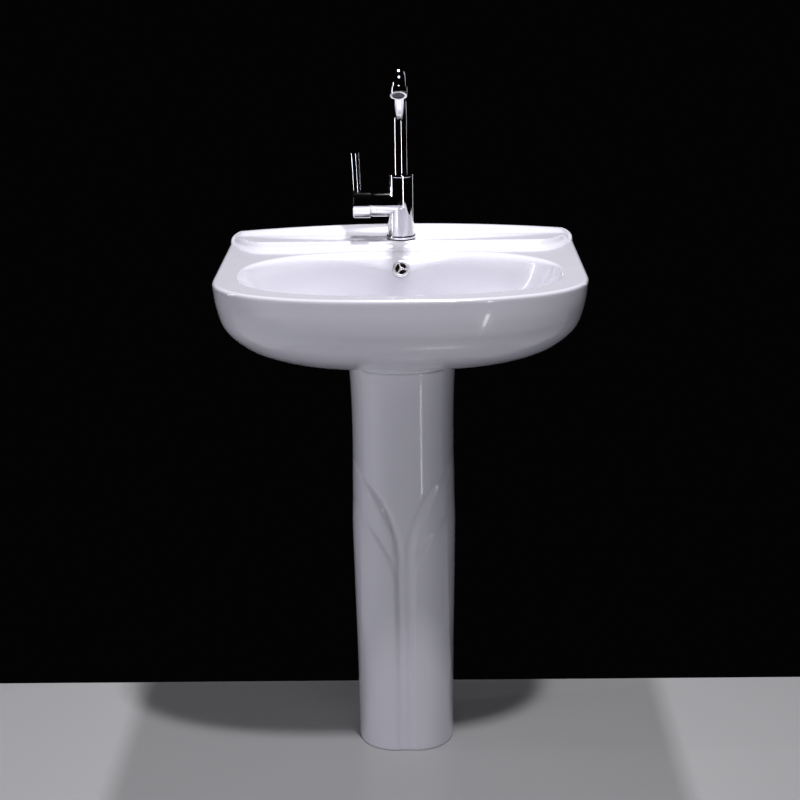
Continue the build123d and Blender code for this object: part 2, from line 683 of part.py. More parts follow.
def waste_flange():
    """Polished flange with a tube that screws into the waste body."""
    low = BOWL_FLOOR_Z + 1.2
    flange = upright(FLANGE_R, low, low + 2.2, 0, WASTE_Y)
    top_edge = flange.edges().filter_by(GeomType.CIRCLE).sort_by(Axis.Z)[-1]
    flange = fillet(top_edge, 1.5)
    flange += upright(18.6, low - 14, low + 1, 0, WASTE_Y)
    flange -= upright(FLANGE_THROAT_R, low + 0.6, low + 5, 0, WASTE_Y)
    return flange - upright(16.2, low - 15, low + 5, 0, WASTE_Y)


def waste_body():
    """Slotted tailpiece: takes water from the bowl and from the overflow duct."""
    top = BOWL_FLOOR_Z + 0.6
    body = upright_ring(TAILPIECE_R, 18.6, 612, top, 0, WASTE_Y)
    body -= block((-7, WASTE_Y - 40, 677), (7, WASTE_Y + 40, 687))
    return body


def waste_bottom_seal():
    """Tapered rubber ring below the basin."""
    low = WASTE_BOSS_Z - 8
    ring = Pos(0, WASTE_Y, low) * Cone(24.5, 31, 8, align=(Align.CENTER, Align.CENTER, Align.MIN))
    return ring - upright(TAILPIECE_R, low - 1, low + 9, 0, WASTE_Y)


def waste_nut():
    """Six-sided nut that pulls the waste tight."""
    low = WASTE_BOSS_Z - 17
    nut = hexagon_bar(54, low, low + 9, 0, WASTE_Y)
    return nut - upright(TAILPIECE_R, low - 1, low + 10, 0, WASTE_Y)


def click_cartridge():
    """Latch that holds the plug up or down, on three arms inside the waste body."""
    low = 650.0
    sleeve = upright_ring(7, STEM_R + RUNNING, low, low + 26, 0, WASTE_Y)
    for turn in range(3):
        arm = Pos(0, WASTE_Y, low + 4) * Rot(0, 0, turn * 120 + 30) * Pos(12.4, 0, 0) * Box(12.4, 2.4, 8)
        sleeve += arm & upright(18.6, low, low + 26, 0, WASTE_Y)
    return sleeve


def waste_plug():
    """Domed press plug on its stem."""
    seat = BOWL_FLOOR_Z + 2.6
    cap = upright(FLANGE_THROAT_R - CLEARANCE, seat, seat + 3.4, 0, WASTE_Y)
    top_edge = cap.edges().filter_by(GeomType.CIRCLE).sort_by(Axis.Z)[-1]
    cap = fillet(top_edge, 2.2)
    cap += upright(13, seat - 5, seat, 0, WASTE_Y)
    return cap + upright(STEM_R, 655, seat, 0, WASTE_Y)


def plug_seal():
    """Rubber ring round the plug's neck."""
    seat = BOWL_FLOOR_Z + 2.6
    return upright_ring(15.6, 13, seat - 4, seat - 1, 0, WASTE_Y)


# ---------------------------------------------------------------- trap
def trap_inlet_nut():
    """Ribbed nut that joins the trap to the tailpiece."""
    nut = upright(28, TRAP_TOP_Z + 4, TRAP_TOP_Z + 28, 0, WASTE_Y)
    nut -= upright(TAILPIECE_R, TRAP_TOP_Z + 17, TRAP_TOP_Z + 30, 0, WASTE_Y)
    nut -= upright(25, TRAP_TOP_Z, TRAP_TOP_Z + 17, 0, WASTE_Y)
    ribs = []
    for turn in range(12):
        rib = Rot(0, 0, turn * 30) * Pos(28, 0, 12) * Box(2.4, 3.6, 24)
        ribs.append(Pos(0, WASTE_Y, TRAP_TOP_Z + 4) * rib)
    return nut + ribs


def trap_inlet_washer():
    """Rubber washer between the tailpiece and the trap."""
    return upright_ring(25, 16, TRAP_TOP_Z + 14, TRAP_TOP_Z + 17, 0, WASTE_Y)


def trap_body():
    """Upper half of the bottle trap: threaded inlet, dip tube, chamber and side outlet."""
    neck = upright(25, TRAP_TOP_Z - 6, TRAP_TOP_Z + 14, 0, WASTE_Y)
    chamber = upright(TRAP_R, TRAP_JOINT_Z, TRAP_TOP_Z - 4, 0, WASTE_Y)
    branch = along((0, WASTE_Y, OUTLET_Z), (0, 1, 0), 20, TRAP_R + 26)
    body = neck + chamber + branch
    body -= upright(TRAP_R - 3, TRAP_JOINT_Z - 1, TRAP_TOP_Z - 9, 0, WASTE_Y)
    body -= along((0, WASTE_Y, OUTLET_Z), (0, 1, 0), OUTLET_R, TRAP_R + 30)
    body += upright(18, TRAP_JOINT_Z - 24, TRAP_TOP_Z - 6, 0, WASTE_Y)
    return body - upright(16, TRAP_JOINT_Z - 30, TRAP_TOP_Z + 20, 0, WASTE_Y)


def trap_cup():
    """Lower half of the trap, screwed on to clean it."""
    rim = upright_ring(TRAP_R + 5, TRAP_R, TRAP_JOINT_Z - 2, TRAP_JOINT_Z + 14, 0, WASTE_Y)
    cup = upright(TRAP_R + 1, TRAP_BOTTOM_Z, TRAP_JOINT_Z - 2, 0, WASTE_Y)
    bottom_edge = cup.edges().filter_by(GeomType.CIRCLE).sort_by(Axis.Z)[0]
    cup = fillet(bottom_edge, 10)
    cup -= upright(TRAP_R - 4, TRAP_BOTTOM_Z + 4, TRAP_JOINT_Z, 0, WASTE_Y)
    return cup + rim


def trap_cup_seal():
    """Rubber ring between the two halves."""
    return upright_ring(TRAP_R, TRAP_R - 4, TRAP_JOINT_Z - 2, TRAP_JOINT_Z, 0, WASTE_Y)


def trap_outlet_nut():
    """Ribbed nut that holds the outlet pipe."""
    start = (0, BRANCH_END_Y - 12, OUTLET_Z)
    nut = along(start, (0, 1, 0), 25, 22)
    nut -= along(start, (0, 1, 0), 20, 15)
    nut -= along(start, (0, 1, 0), OUTLET_R, 30)
    for turn in range(12):
        angle = math.radians(turn * 30)
        at = (25 * math.cos(angle), BRANCH_END_Y - 1, OUTLET_Z + 25 * math.sin(angle))
        nut += Pos(*at) * Rot(0, -turn * 30, 0) * Box(2.4, 22, 3.2)
    return nut


def trap_outlet_washer():
    """Rubber washer between the branch and the outlet pipe."""
    start = (0, BRANCH_END_Y, OUTLET_Z)
    return along(start, (0, 1, 0), 20, 3) - along(start, (0, 1, 0), OUTLET_R, 4)


def outlet_pipe():
    """Plain pipe from the trap to the wall."""
    start = (0, BRANCH_END_Y - 8, OUTLET_Z)
    length = WALL_Y - BRANCH_END_Y + 8
    stop = (0, WALL_Y - PIPE_STUB - 3, OUTLET_Z)
    pipe = along(start, (0, 1, 0), OUTLET_R, length) + along(stop, (0, 1, 0), OUTLET_R + 1.2, 3)
    return pipe - along(start, (0, 1, 0), OUTLET_R - PIPE_WALL, length)


# ---------------------------------------------------------------- export
PARTS = {
    "basin": basin,
    "pedestal": pedestal,
    "overflow_grille": overflow_grille,
    "tap_base_seal": tap_base_seal,
    "tap_base_ring": tap_base_ring,
    "tap_body": tap_body,
    "hot_tail": lambda: supply_tail(-1),
    "cold_tail": lambda: supply_tail(1),
    "fixing_rubber": lambda: horseshoe(LEDGE_UNDERSIDE_Z - 3, LEDGE_UNDERSIDE_Z),
    "fixing_plate": lambda: horseshoe(LEDGE_UNDERSIDE_Z - 6, LEDGE_UNDERSIDE_Z - 3),
    "fixing_stud": fixing_stud,
    "fixing_nut": fixing_nut,
    "spout": spout,
    "spout_clip": spout_clip,
    "spout_bush": spout_bush,
    "spout_seals": spout_seals,
    "spout_cap": spout_cap,
    "aerator_housing": aerator_housing,
    "aerator_insert": aerator_insert,
    "aerator_washer": aerator_washer,
    "cartridge_body": cartridge_body,
    "cartridge_fixed_disc": cartridge_fixed_disc,
    "cartridge_moving_disc": cartridge_moving_disc,
    "cartridge_rotor": cartridge_rotor,
    "cartridge_pin": cartridge_pin,
    "cartridge_stem": cartridge_stem,
    "cartridge_nut": cartridge_nut,
    "valve_dome": valve_dome,
    "handle_hub": handle_hub,
    "lever_rod": lever_rod,
    "handle_screw": handle_screw,
    "waste_top_seal": waste_top_seal,
    "waste_flange": waste_flange,
    "waste_body": waste_body,
    "waste_bottom_seal": waste_bottom_seal,
    "waste_nut": waste_nut,
    "click_cartridge": click_cartridge,
    "waste_plug": waste_plug,
    "plug_seal": plug_seal,
    "trap_inlet_nut": trap_inlet_nut,
    "trap_inlet_washer": trap_inlet_washer,
    "trap_body": trap_body,
    "trap_cup": trap_cup,
    "trap_cup_seal": trap_cup_seal,
    "trap_outlet_nut": trap_outlet_nut,
    "trap_outlet_washer": trap_outlet_washer,
    "outlet_pipe": outlet_pipe,
}

for name, make in PARTS.items():
    piece = make()
    export_step(piece, f"parts/{name}.step")
    print(name, round(piece.volume))
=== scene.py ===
# %% [markdown]
# Pedestal sink: the looks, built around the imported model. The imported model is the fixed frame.

# %% Load the frame
import json
import math

import bmesh
import bpy
import numpy as np
from mathutils import Matrix, Vector


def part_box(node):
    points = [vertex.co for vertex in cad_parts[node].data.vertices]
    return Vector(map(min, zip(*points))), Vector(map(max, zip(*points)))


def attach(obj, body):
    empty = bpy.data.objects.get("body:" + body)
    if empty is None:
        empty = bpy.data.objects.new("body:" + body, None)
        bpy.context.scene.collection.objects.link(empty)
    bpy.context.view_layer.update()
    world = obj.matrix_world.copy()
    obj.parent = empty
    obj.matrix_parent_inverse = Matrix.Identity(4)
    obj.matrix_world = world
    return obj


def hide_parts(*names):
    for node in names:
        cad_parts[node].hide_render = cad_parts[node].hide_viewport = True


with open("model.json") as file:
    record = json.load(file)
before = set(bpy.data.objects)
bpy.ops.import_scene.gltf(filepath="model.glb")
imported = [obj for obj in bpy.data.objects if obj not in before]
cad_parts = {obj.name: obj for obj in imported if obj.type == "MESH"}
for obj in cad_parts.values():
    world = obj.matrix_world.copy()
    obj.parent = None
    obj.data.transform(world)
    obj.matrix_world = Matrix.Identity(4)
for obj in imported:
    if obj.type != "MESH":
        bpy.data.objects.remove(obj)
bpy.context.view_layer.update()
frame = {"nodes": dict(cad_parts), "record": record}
MM = 0.001

# %% [markdown]
# Operators act on everything that is selected, and the loaded nodes arrive selected.
# This helper leaves edit mode and clears the selection, and every piece below starts with it.

# %% Helpers for modelling
def clear_selection():
    """Leaves edit mode and deselects everything."""
    if bpy.context.object and bpy.context.object.mode != "OBJECT":
        bpy.ops.object.mode_set(mode="OBJECT")
    bpy.ops.object.select_all(action="DESELECT")


def pick(piece):
    """Makes one object the only selected and active one."""
    clear_selection()
    piece.select_set(True)
    bpy.context.view_layer.objects.active = piece


def apply_modifier(piece, kind, **settings):
    """Adds a modifier with its settings and applies it."""
    pick(piece)
    modifier = piece.modifiers.new(kind.title(), kind)
    for name, value in settings.items():
        setattr(modifier, name, value)
    bpy.ops.object.modifier_apply(modifier=modifier.name)


def round_edges(piece, width, segments=3, angle=35):
    """Rounds the edges that are sharper than the angle."""
    apply_modifier(
        piece, "BEVEL", width=width * MM, segments=segments, limit_method="ANGLE",
        angle_limit=math.radians(angle), harden_normals=False,
    )


def smooth(piece, angle=40, weighted=False):
    """Shades the piece smooth, except across sharp edges; weighted keeps its flat faces flat."""
    pick(piece)
    bpy.ops.object.shade_smooth_by_angle(angle=math.radians(angle))
    if weighted:
        apply_modifier(piece, "WEIGHTED_NORMAL", keep_sharp=True)


def settle(piece, location=(0, 0, 0), rotation=(0, 0, 0)):
    """Turns and moves a piece modelled at the origin, then puts its place into its mesh."""
    piece.rotation_euler = rotation
    piece.location = [value * MM for value in location]
    pick(piece)
    bpy.ops.object.transform_apply(location=True, rotation=True, scale=True)


def join(pieces, name):
    """Joins several meshes into the first one."""
    clear_selection()
    for piece in pieces:
        piece.select_set(True)
    bpy.context.view_layer.objects.active = pieces[0]
    bpy.ops.object.join()
    pieces[0].name = name
    pieces[0].data.name = name
    return pieces[0]


def combine(piece, other, how):
    """Boolean of two closed pieces; the second one is used up."""
    apply_modifier(piece, "BOOLEAN", object=other, operation=how, solver="EXACT")
    bpy.data.objects.remove(other)


def turned(name, profile, segments=96):
    """Round piece about the Z axis: a ring is drawn out and resized step by step along the profile.

    The profile is a list of (radius, height) in mm. A radius of 0 closes an end with a point.
    A profile that ends where it starts gives a ring.
    """
    clear_selection()
    first = profile[0]
    start_radius = max(first[0], 0.001)
    bpy.ops.mesh.primitive_circle_add(
        vertices=segments, radius=start_radius * MM, location=(0, 0, first[1] * MM)
    )
    piece = bpy.context.object
    piece.name = name
    piece.data.name = name
    bpy.ops.object.transform_apply(location=True, rotation=True, scale=True)
    bpy.ops.object.mode_set(mode="EDIT")
    bpy.ops.mesh.select_all(action="SELECT")
    radius, height = start_radius, first[1]
    for next_radius, next_height in profile[1:]:
        next_radius = max(next_radius, 0.001)
        bpy.ops.mesh.extrude_region_move(
            TRANSFORM_OT_translate={"value": (0, 0, (next_height - height) * MM)}
        )
        grow = next_radius / radius
        bpy.ops.transform.resize(value=(grow, grow, 1), center_override=(0, 0, next_height * MM))
        radius, height = next_radius, next_height
    bpy.ops.mesh.select_all(action="SELECT")
    bpy.ops.mesh.remove_doubles(threshold=0.00001)
    bpy.ops.mesh.normals_make_consistent(inside=False)
    bpy.ops.object.mode_set(mode="OBJECT")
    return piece


def finish_piece(piece, body, slot, material, *nodes):
    """Gives a finished piece its material, its body and the nodes that it stands for."""
    piece.data.materials.clear()
    piece.data.materials.append(material)
    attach(piece, body)
    if nodes:
        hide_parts(*nodes)
    faces = len(piece.data.polygons)
    print(piece.name, "faces", faces)
    return piece


# %% [markdown]
# A finish is a small network of shader nodes. Sums on numbers are written as Python expressions:
# the class below wraps a socket, and each operator adds one Math node.

# %% Shader helpers
class Socket:
    """A number inside a material, with arithmetic."""

    def __init__(self, tree, socket):
        self.tree = tree
        self.socket = socket

    def math(self, operation, other):
        node = self.tree.nodes.new("ShaderNodeMath")
        node.operation = operation
        for slot, value in zip(node.inputs, (self, other)):
            if isinstance(value, Socket):
                self.tree.links.new(value.socket, slot)
            else:
                slot.default_value = value
        return Socket(self.tree, node.outputs[0])

    def __add__(self, other):
        return self.math("ADD", other)

    def __mul__(self, other):
        return self.math("MULTIPLY", other)

    def __sub__(self, other):
        return self.math("SUBTRACT", other)

    def __rsub__(self, other):
        return (self * -1.0) + other

    __radd__ = __add__
    __rmul__ = __mul__


class Finish:
    """A material with a Principled shader, and one method that adds any other node."""

    def __init__(self, name):
        self.material = bpy.data.materials.new(name)
        self.material.use_nodes = True
        self.tree = self.material.node_tree
        self.shader = self.tree.nodes["Principled BSDF"]

    def node(self, kind, settings=None, values=None, output=0):
        node = self.tree.nodes.new(kind)
        for name, value in (settings or {}).items():
            if name == "stops":
                for element, (position, colour) in zip(node.color_ramp.elements, value):
                    element.position = position
                    element.color = colour
            else:
                setattr(node, name, value)
        for name, value in (values or {}).items():
            slot = node.inputs[name]
            if isinstance(value, Socket):
                self.tree.links.new(value.socket, slot)
            else:
                slot.default_value = value
        return Socket(self.tree, node.outputs[output])

    def place(self):
        """Coordinates fixed to the object, in metres."""
        return self.node("ShaderNodeTexCoord", output=3)

    def noise(self, scale, detail=2.0, stretch=(1, 1, 1)):
        """Soft random values from 0 to 1 on the object's own coordinates."""
        where = self.node("ShaderNodeMapping", values={"Vector": self.place(), "Scale": stretch})
        return self.node("ShaderNodeTexNoise", values={"Vector": where, "Scale": scale, "Detail": detail})

    def blend(self, factor, first, second):
        """Colour between two others."""
        node = self.tree.nodes.new("ShaderNodeMix")
        node.data_type = "RGBA"
        self.tree.links.new(factor.socket, node.inputs["Factor"])
        for slot, value in ((node.inputs[6], first), (node.inputs[7], second)):
            slot.default_value = value
        return Socket(self.tree, node.outputs[2])

    def ripple(self, height, strength, distance):
        """Fine unevenness, as a bump."""
        values = {"Height": height, "Strength": strength, "Distance": distance}
        return self.node("ShaderNodeBump", values=values)

    def set(self, **sockets):
        """Sets or links the shader's sockets; underscores in a name stand for spaces."""
        for name, value in sockets.items():
            slot = self.shader.inputs[name.replace("_", " ")]
            if isinstance(value, Socket):
                self.tree.links.new(value.socket, slot)
            else:
                slot.default_value = value
        return self.material


# %% [markdown]
# Vitreous china is a white clay body under a clear, glassy glaze. The glaze runs a little in the kiln, so
# its surface is not quite flat: reflections bend softly. The colour varies by a percent or two.
# A glossy base under a clear coat gives both the soft inner reflection and the sharp outer one.

# %% Glaze
def make_glaze():
    glaze = Finish("white_glaze")
    pool = glaze.noise(9.0, 3.0)
    speck = glaze.noise(900.0, 1.0)
    tint = glaze.blend(pool, (0.575, 0.568, 0.640, 1), (0.605, 0.598, 0.668, 1))
    waves = glaze.noise(22.0, 1.5) + speck * 0.02
    return glaze.set(
        Base_Color=tint,
        Roughness=0.16 + pool * 0.08,
        Normal=glaze.ripple(waves, 0.25, 0.0006),
        Specular_IOR_Level=0.5,
        Coat_Weight=0.8,
        Coat_Roughness=0.03,
        Subsurface_Weight=0.0,
    )


glaze_finish = make_glaze()
print(glaze_finish.name)

# %% [markdown]
# Chrome plate over polished brass is nearly a perfect mirror. What tells the eye that it is real is a faint
# film of water marks and wiping, which changes the roughness and hardly the colour.

# %% Metals, rubber and plastics
def make_metal(name, dark, light, rough, vary, grain=40.0, stretch=(1, 1, 1), bump=0.02):
    metal = Finish(name)
    film = metal.noise(grain, 4.0, stretch)
    return metal.set(
        Base_Color=metal.blend(film, dark, light),
        Metallic=1.0,
        Roughness=rough + film * vary,
        Normal=metal.ripple(film, bump, 0.0004),
    )


def make_soft(name, dark, light, rough, vary, grain=120.0, bump=0.1):
    solid = Finish(name)
    grit = solid.noise(grain, 5.0)
    return solid.set(
        Base_Color=solid.blend(grit, dark, light),
        Roughness=rough + grit * vary,
        Normal=solid.ripple(grit, bump, 0.0003),
    )


chrome_finish = make_metal("polished_chrome", (0.80, 0.80, 0.82, 1), (0.88, 0.88, 0.90, 1), 0.02, 0.03)
satin_finish = make_metal("satin_chrome", (0.86, 0.86, 0.88, 1), (0.93, 0.93, 0.95, 1), 0.26, 0.34)
steel_finish = make_metal("turned_steel", (0.42, 0.42, 0.43, 1), (0.58, 0.58, 0.60, 1), 0.22, 0.16, 160.0)
brass_finish = make_metal("cast_brass", (0.60, 0.42, 0.17, 1), (0.80, 0.60, 0.28, 1), 0.24, 0.18, 90.0)
copper_finish = make_metal("drawn_copper", (0.66, 0.30, 0.18, 1), (0.86, 0.46, 0.30, 1), 0.18, 0.2, 60.0)
rubber_finish = make_soft("black_rubber", (0.012, 0.012, 0.013, 1), (0.03, 0.03, 0.032, 1), 0.55, 0.2)
white_plastic_finish = make_soft(
    "moulded_white_plastic", (0.66, 0.66, 0.65, 1), (0.76, 0.76, 0.75, 1), 0.32, 0.12
)
trap_plastic_finish = make_soft("trap_plastic", (0.60, 0.61, 0.60, 1), (0.72, 0.73, 0.72, 1), 0.3, 0.14, 70.0)
dark_plastic_finish = make_soft("dark_plastic", (0.03, 0.03, 0.034, 1), (0.07, 0.07, 0.075, 1), 0.35, 0.15)
disc_finish = make_soft("ground_alumina", (0.74, 0.73, 0.70, 1), (0.86, 0.85, 0.82, 1), 0.18, 0.08, 200.0)
finish_of_slot = {
    "glaze": glaze_finish,
    "chrome": chrome_finish,
    "rubber": rubber_finish,
    "copper": copper_finish,
    "steel": steel_finish,
    "brass": brass_finish,
    "white_plastic": white_plastic_finish,
    "dark_plastic": dark_plastic_finish,
    "disc_ceramic": disc_finish,
    "trap_plastic": trap_plastic_finish,
}
print("finishes", len(finish_of_slot))

# %% [markdown]
# The basin is slip-cast: one skin of clay flows from the waste hole up the bowl, over the rim, down the
# outside and back inside the hollow underneath. No primitive leads to such a free form, and a boxy start with
# many edges smooths into the wrong curves, where a glossy glaze shows every error. So its skin is laid as a
# net of closed rings, each worked out from the same driving sections that the hard model uses: height, half
# width, front edge and widest line. Neighbouring rings are close, and every ring has the same columns.

# %% Sections of the basin, in mm
basin_low, basin_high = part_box("basin")
WALL_Y = basin_high.y / MM
HALF = 282.5
RIM_Z = 815.0
LEDGE_Z = 825.0
LEDGE_Y = 143.0
LEDGE_FOOT = 13.0  # depth of the riser in front of the ledge
LEDGE_STRAIGHT_X = 222.0
SEAT_Z = basin_low.z / MM
SKIN = 12.0
TOP_Z = basin_high.z / MM
FLOOR_Z = 700.0
WASTE_Y = 25.0
WASTE_R = 22.6
BOSS_R = 42.0
BOSS_Z = 672.0
HOLLOW_TOP_Z = 801.0

SHELL = np.array([
    (SEAT_Z, 80.0, -45.0, 42.0),
    (660.0, 82.0, -47.0, 40.0),
    (666.0, 94.0, -57.0, 32.0),
    (674.0, 134.0, -87.0, 14.0),
    (684.0, 182.0, -126.0, -4.0),
    (697.0, 216.0, -156.0, -24.0),
    (716.0, 244.0, -184.0, -44.0),
    (745.0, 268.0, -208.0, -60.0),
    (780.0, 278.0, -217.0, -64.0),
    (RIM_Z, HALF, -220.0, -64.0),
])
BOWL = np.array([
    (FLOOR_Z, 52.0, -24.0, 66.0, 22.0),
    (708.0, 110.0, -76.0, 70.0, 6.0),
    (728.0, 172.0, -132.0, 74.0, -18.0),
    (760.0, 216.0, -168.0, 80.0, -34.0),
    (795.0, 238.0, -184.0, 88.0, -42.0),
    (RIM_Z, 246.0, -188.0, 97.0, -44.0),
])
POWER = 2.5


def along_sections(sections, position):
    """Smooth curve through the rows of a table; position 1.5 is half way between rows 1 and 2."""
    position = np.clip(np.asarray(position, float), 0, len(sections) - 1)
    row = np.minimum(position.astype(int), len(sections) - 2)
    t = (position - row)[..., None]
    before = sections[np.maximum(row - 1, 0)]
    here, after = sections[row], sections[row + 1]
    beyond = sections[np.minimum(row + 2, len(sections) - 1)]
    leave, arrive = (after - before) / 2, (beyond - here) / 2
    return (
        here * (1 + 2 * t) * (1 - t) ** 2 + leave * t * (1 - t) ** 2
        + after * t * t * (3 - 2 * t) + arrive * t * t * (t - 1)
    )


def ease(value, low, high):
    """0 below low, 1 above high, and a smooth step between."""
    t = np.clip((value - low) / (high - low), 0, 1)
    return t * t * (3 - 2 * t)


print("sections", len(SHELL), len(BOWL))

# %% [markdown]
# The columns are chosen once, on the outline of the rim: down the right side, round the front, up the left
# side, round the corner and along the wall. They crowd together beside the tap ledge, where the rim steps up.

# %% Columns round the rim
def spread_evenly(points, count):
    """Points at equal distances along a line of many points."""
    steps = np.hypot(*np.diff(points, axis=0).T)
    travelled = np.concatenate([[0], np.cumsum(steps)])
    targets = np.linspace(0, travelled[-1], count)
    return np.stack([np.interp(targets, travelled, points[:, k]) for k in (0, 1)], axis=1)


FRONT_COLUMNS = 151
SIDE_COLUMNS = 44
CORNER_COLUMNS = 10
CORNER_ROUND = 13.0
WALL_COLUMNS = 64


def rounded_front(power):
    """The front half of a superellipse of radius 1, from right to left."""
    angle = np.linspace(0, math.pi, 4001)
    return np.stack(
        [
            np.sign(np.cos(angle)) * np.abs(np.cos(angle)) ** (2 / power),
            -np.abs(np.sin(angle)) ** (2 / power),
        ],
        axis=1,
    )


front_size = (HALF, 156.0)  # half width and depth of the front in mm
front_columns = spread_evenly(rounded_front(POWER) * front_size, FRONT_COLUMNS) / front_size
side_start = np.linspace(0, 1, SIDE_COLUMNS + 1)[1:]
side_share = np.interp(side_start, (0, 0.32, 1.0), (0, 0.62, 1.0))
corner_turn = np.linspace(0, math.pi / 2, CORNER_COLUMNS + 1)[1:]
wall_share = np.linspace(1, -1, WALL_COLUMNS + 1)[1:-1]
COLUMNS = FRONT_COLUMNS + 2 * SIDE_COLUMNS + 2 * CORNER_COLUMNS + len(wall_share)


def shell_ring(half, front, widest, back, corner):
    """One outline in plan: rounded front, straight sides, rounded corners and a straight back."""
    front_part = np.stack(
        [front_columns[:, 0] * half, widest + front_columns[:, 1] * (widest - front)], axis=1
    )
    side_y = widest + (back - corner - widest) * side_share
    left = np.stack([np.full(SIDE_COLUMNS, -half), side_y], axis=1)
    corner_left = np.stack(
        [
            -half + corner * (1 - np.cos(corner_turn)),
            back - corner + corner * np.sin(corner_turn),
        ],
        axis=1,
    )
    wall = np.stack([-(half - corner) * wall_share, np.full(len(wall_share), back)], axis=1)
    mirror = np.array([-1, 1])
    right = [corner_left[::-1] * mirror, left[::-1] * mirror]
    return np.concatenate([front_part, left, corner_left, wall, *right])


def bowl_ring(section, way):
    """One outline of the bowl, met by the columns' own directions."""
    half, front, back, widest = section[..., 1], section[..., 2], section[..., 3], section[..., 4]
    depth = np.where(way[:, 1] < 0, widest - front, back - widest)
    reach = (np.abs(way[:, 0] / half) ** POWER + np.abs(way[:, 1] / depth) ** POWER) ** (-1 / POWER)
    return np.stack([way[:, 0] * reach, widest + way[:, 1] * reach], axis=1)


EDGE_ROUND = 5.5
rim_outline = shell_ring(HALF - EDGE_ROUND, -220.0 + EDGE_ROUND, -64.0, WALL_Y - 3.0, CORNER_ROUND)
from_centre = rim_outline - (0.0, BOWL[-1][4])
way = from_centre / np.hypot(*from_centre.T)[:, None]
print("columns", COLUMNS, "outline", rim_outline.shape)

# %% [markdown]
# The bowl is not a plain oval. Behind, it scoops out into two soft lobes, and between them a smooth spine
# comes forward to carry the overflow. In front and at the sides the lip is crisp; at the back it is soft.

# %% Rings of the bowl
def lobes(x):
    """1 in the two scoops behind, 0 on the spine between them and out at the ends."""
    return (1 - np.exp(-((x / 52.0) ** 2))) * (1 - ease(np.abs(x), 150.0, 228.0))


def bowl_points(position):
    """Points of the bowl at one position along its sections for each column."""
    section = along_sections(BOWL, position)
    plan = bowl_ring(section, way)
    height = section[:, 0]
    rear = ease(way[:, 1], 0.1, 0.75)
    scoop = lobes(plan[:, 0]) * rear * 9.0 * ease(height, 705.0, 790.0)
    spine = np.exp(-((plan[:, 0] / 40.0) ** 2)) * rear * 3.0 * ease(height, 705.0, 740.0)
    plan = plan + np.stack([np.zeros(COLUMNS), scoop - spine], axis=1)
    return np.column_stack([plan, height])


fine = np.linspace(0, len(BOWL) - 1, 600)
fine_height = along_sections(BOWL, fine)[:, 0]
opening = bowl_points(np.full(COLUMNS, len(BOWL) - 1.0))
rear_share = ease(way[:, 1], 0.05, 0.6)
centre_share = np.exp(-((opening[:, 0] / 62.0) ** 2)) * rear_share
lip_round = 2.6 + 9.0 * rear_share + 14.0 * centre_share
print("lip radius from", round(lip_round.min(), 1), "to", round(lip_round.max(), 1), "mm")

# %% [markdown]
# The top is one height for every place: the flat rim, the riser to the tap ledge, whose front edge curves
# back to the rear corners, and the sweep up to the arched lip along the wall.

# %% Height of the top
def ledge_line(x):
    """Where the ledge's front edge runs."""
    beyond = np.maximum(np.abs(x) - LEDGE_STRAIGHT_X, 0)
    return LEDGE_Y + 68.0 * (beyond / (HALF - LEDGE_STRAIGHT_X)) ** 2


def top_height(x, y):
    rise = np.clip((y - ledge_line(x) + LEDGE_FOOT) / LEDGE_FOOT, 0, 1)
    step = (LEDGE_Z - RIM_Z) * (1.25 * rise ** 2 - 0.25 * rise ** 5)
    arch = TOP_Z - 11.0 * (x / HALF) ** 2
    sweep = (arch - LEDGE_Z) * ease(y, 189.0, 215.0)
    dip = 1.5 * np.exp(-((x / 120.0) ** 2)) * (1 - ease(y, 100.0, 130.0)) * ease(y, 60.0, 100.0)
    ends = 1 - 0.5 * ease(np.abs(x), 262.0, HALF)
    return RIM_Z + (step + sweep) * ends - dip


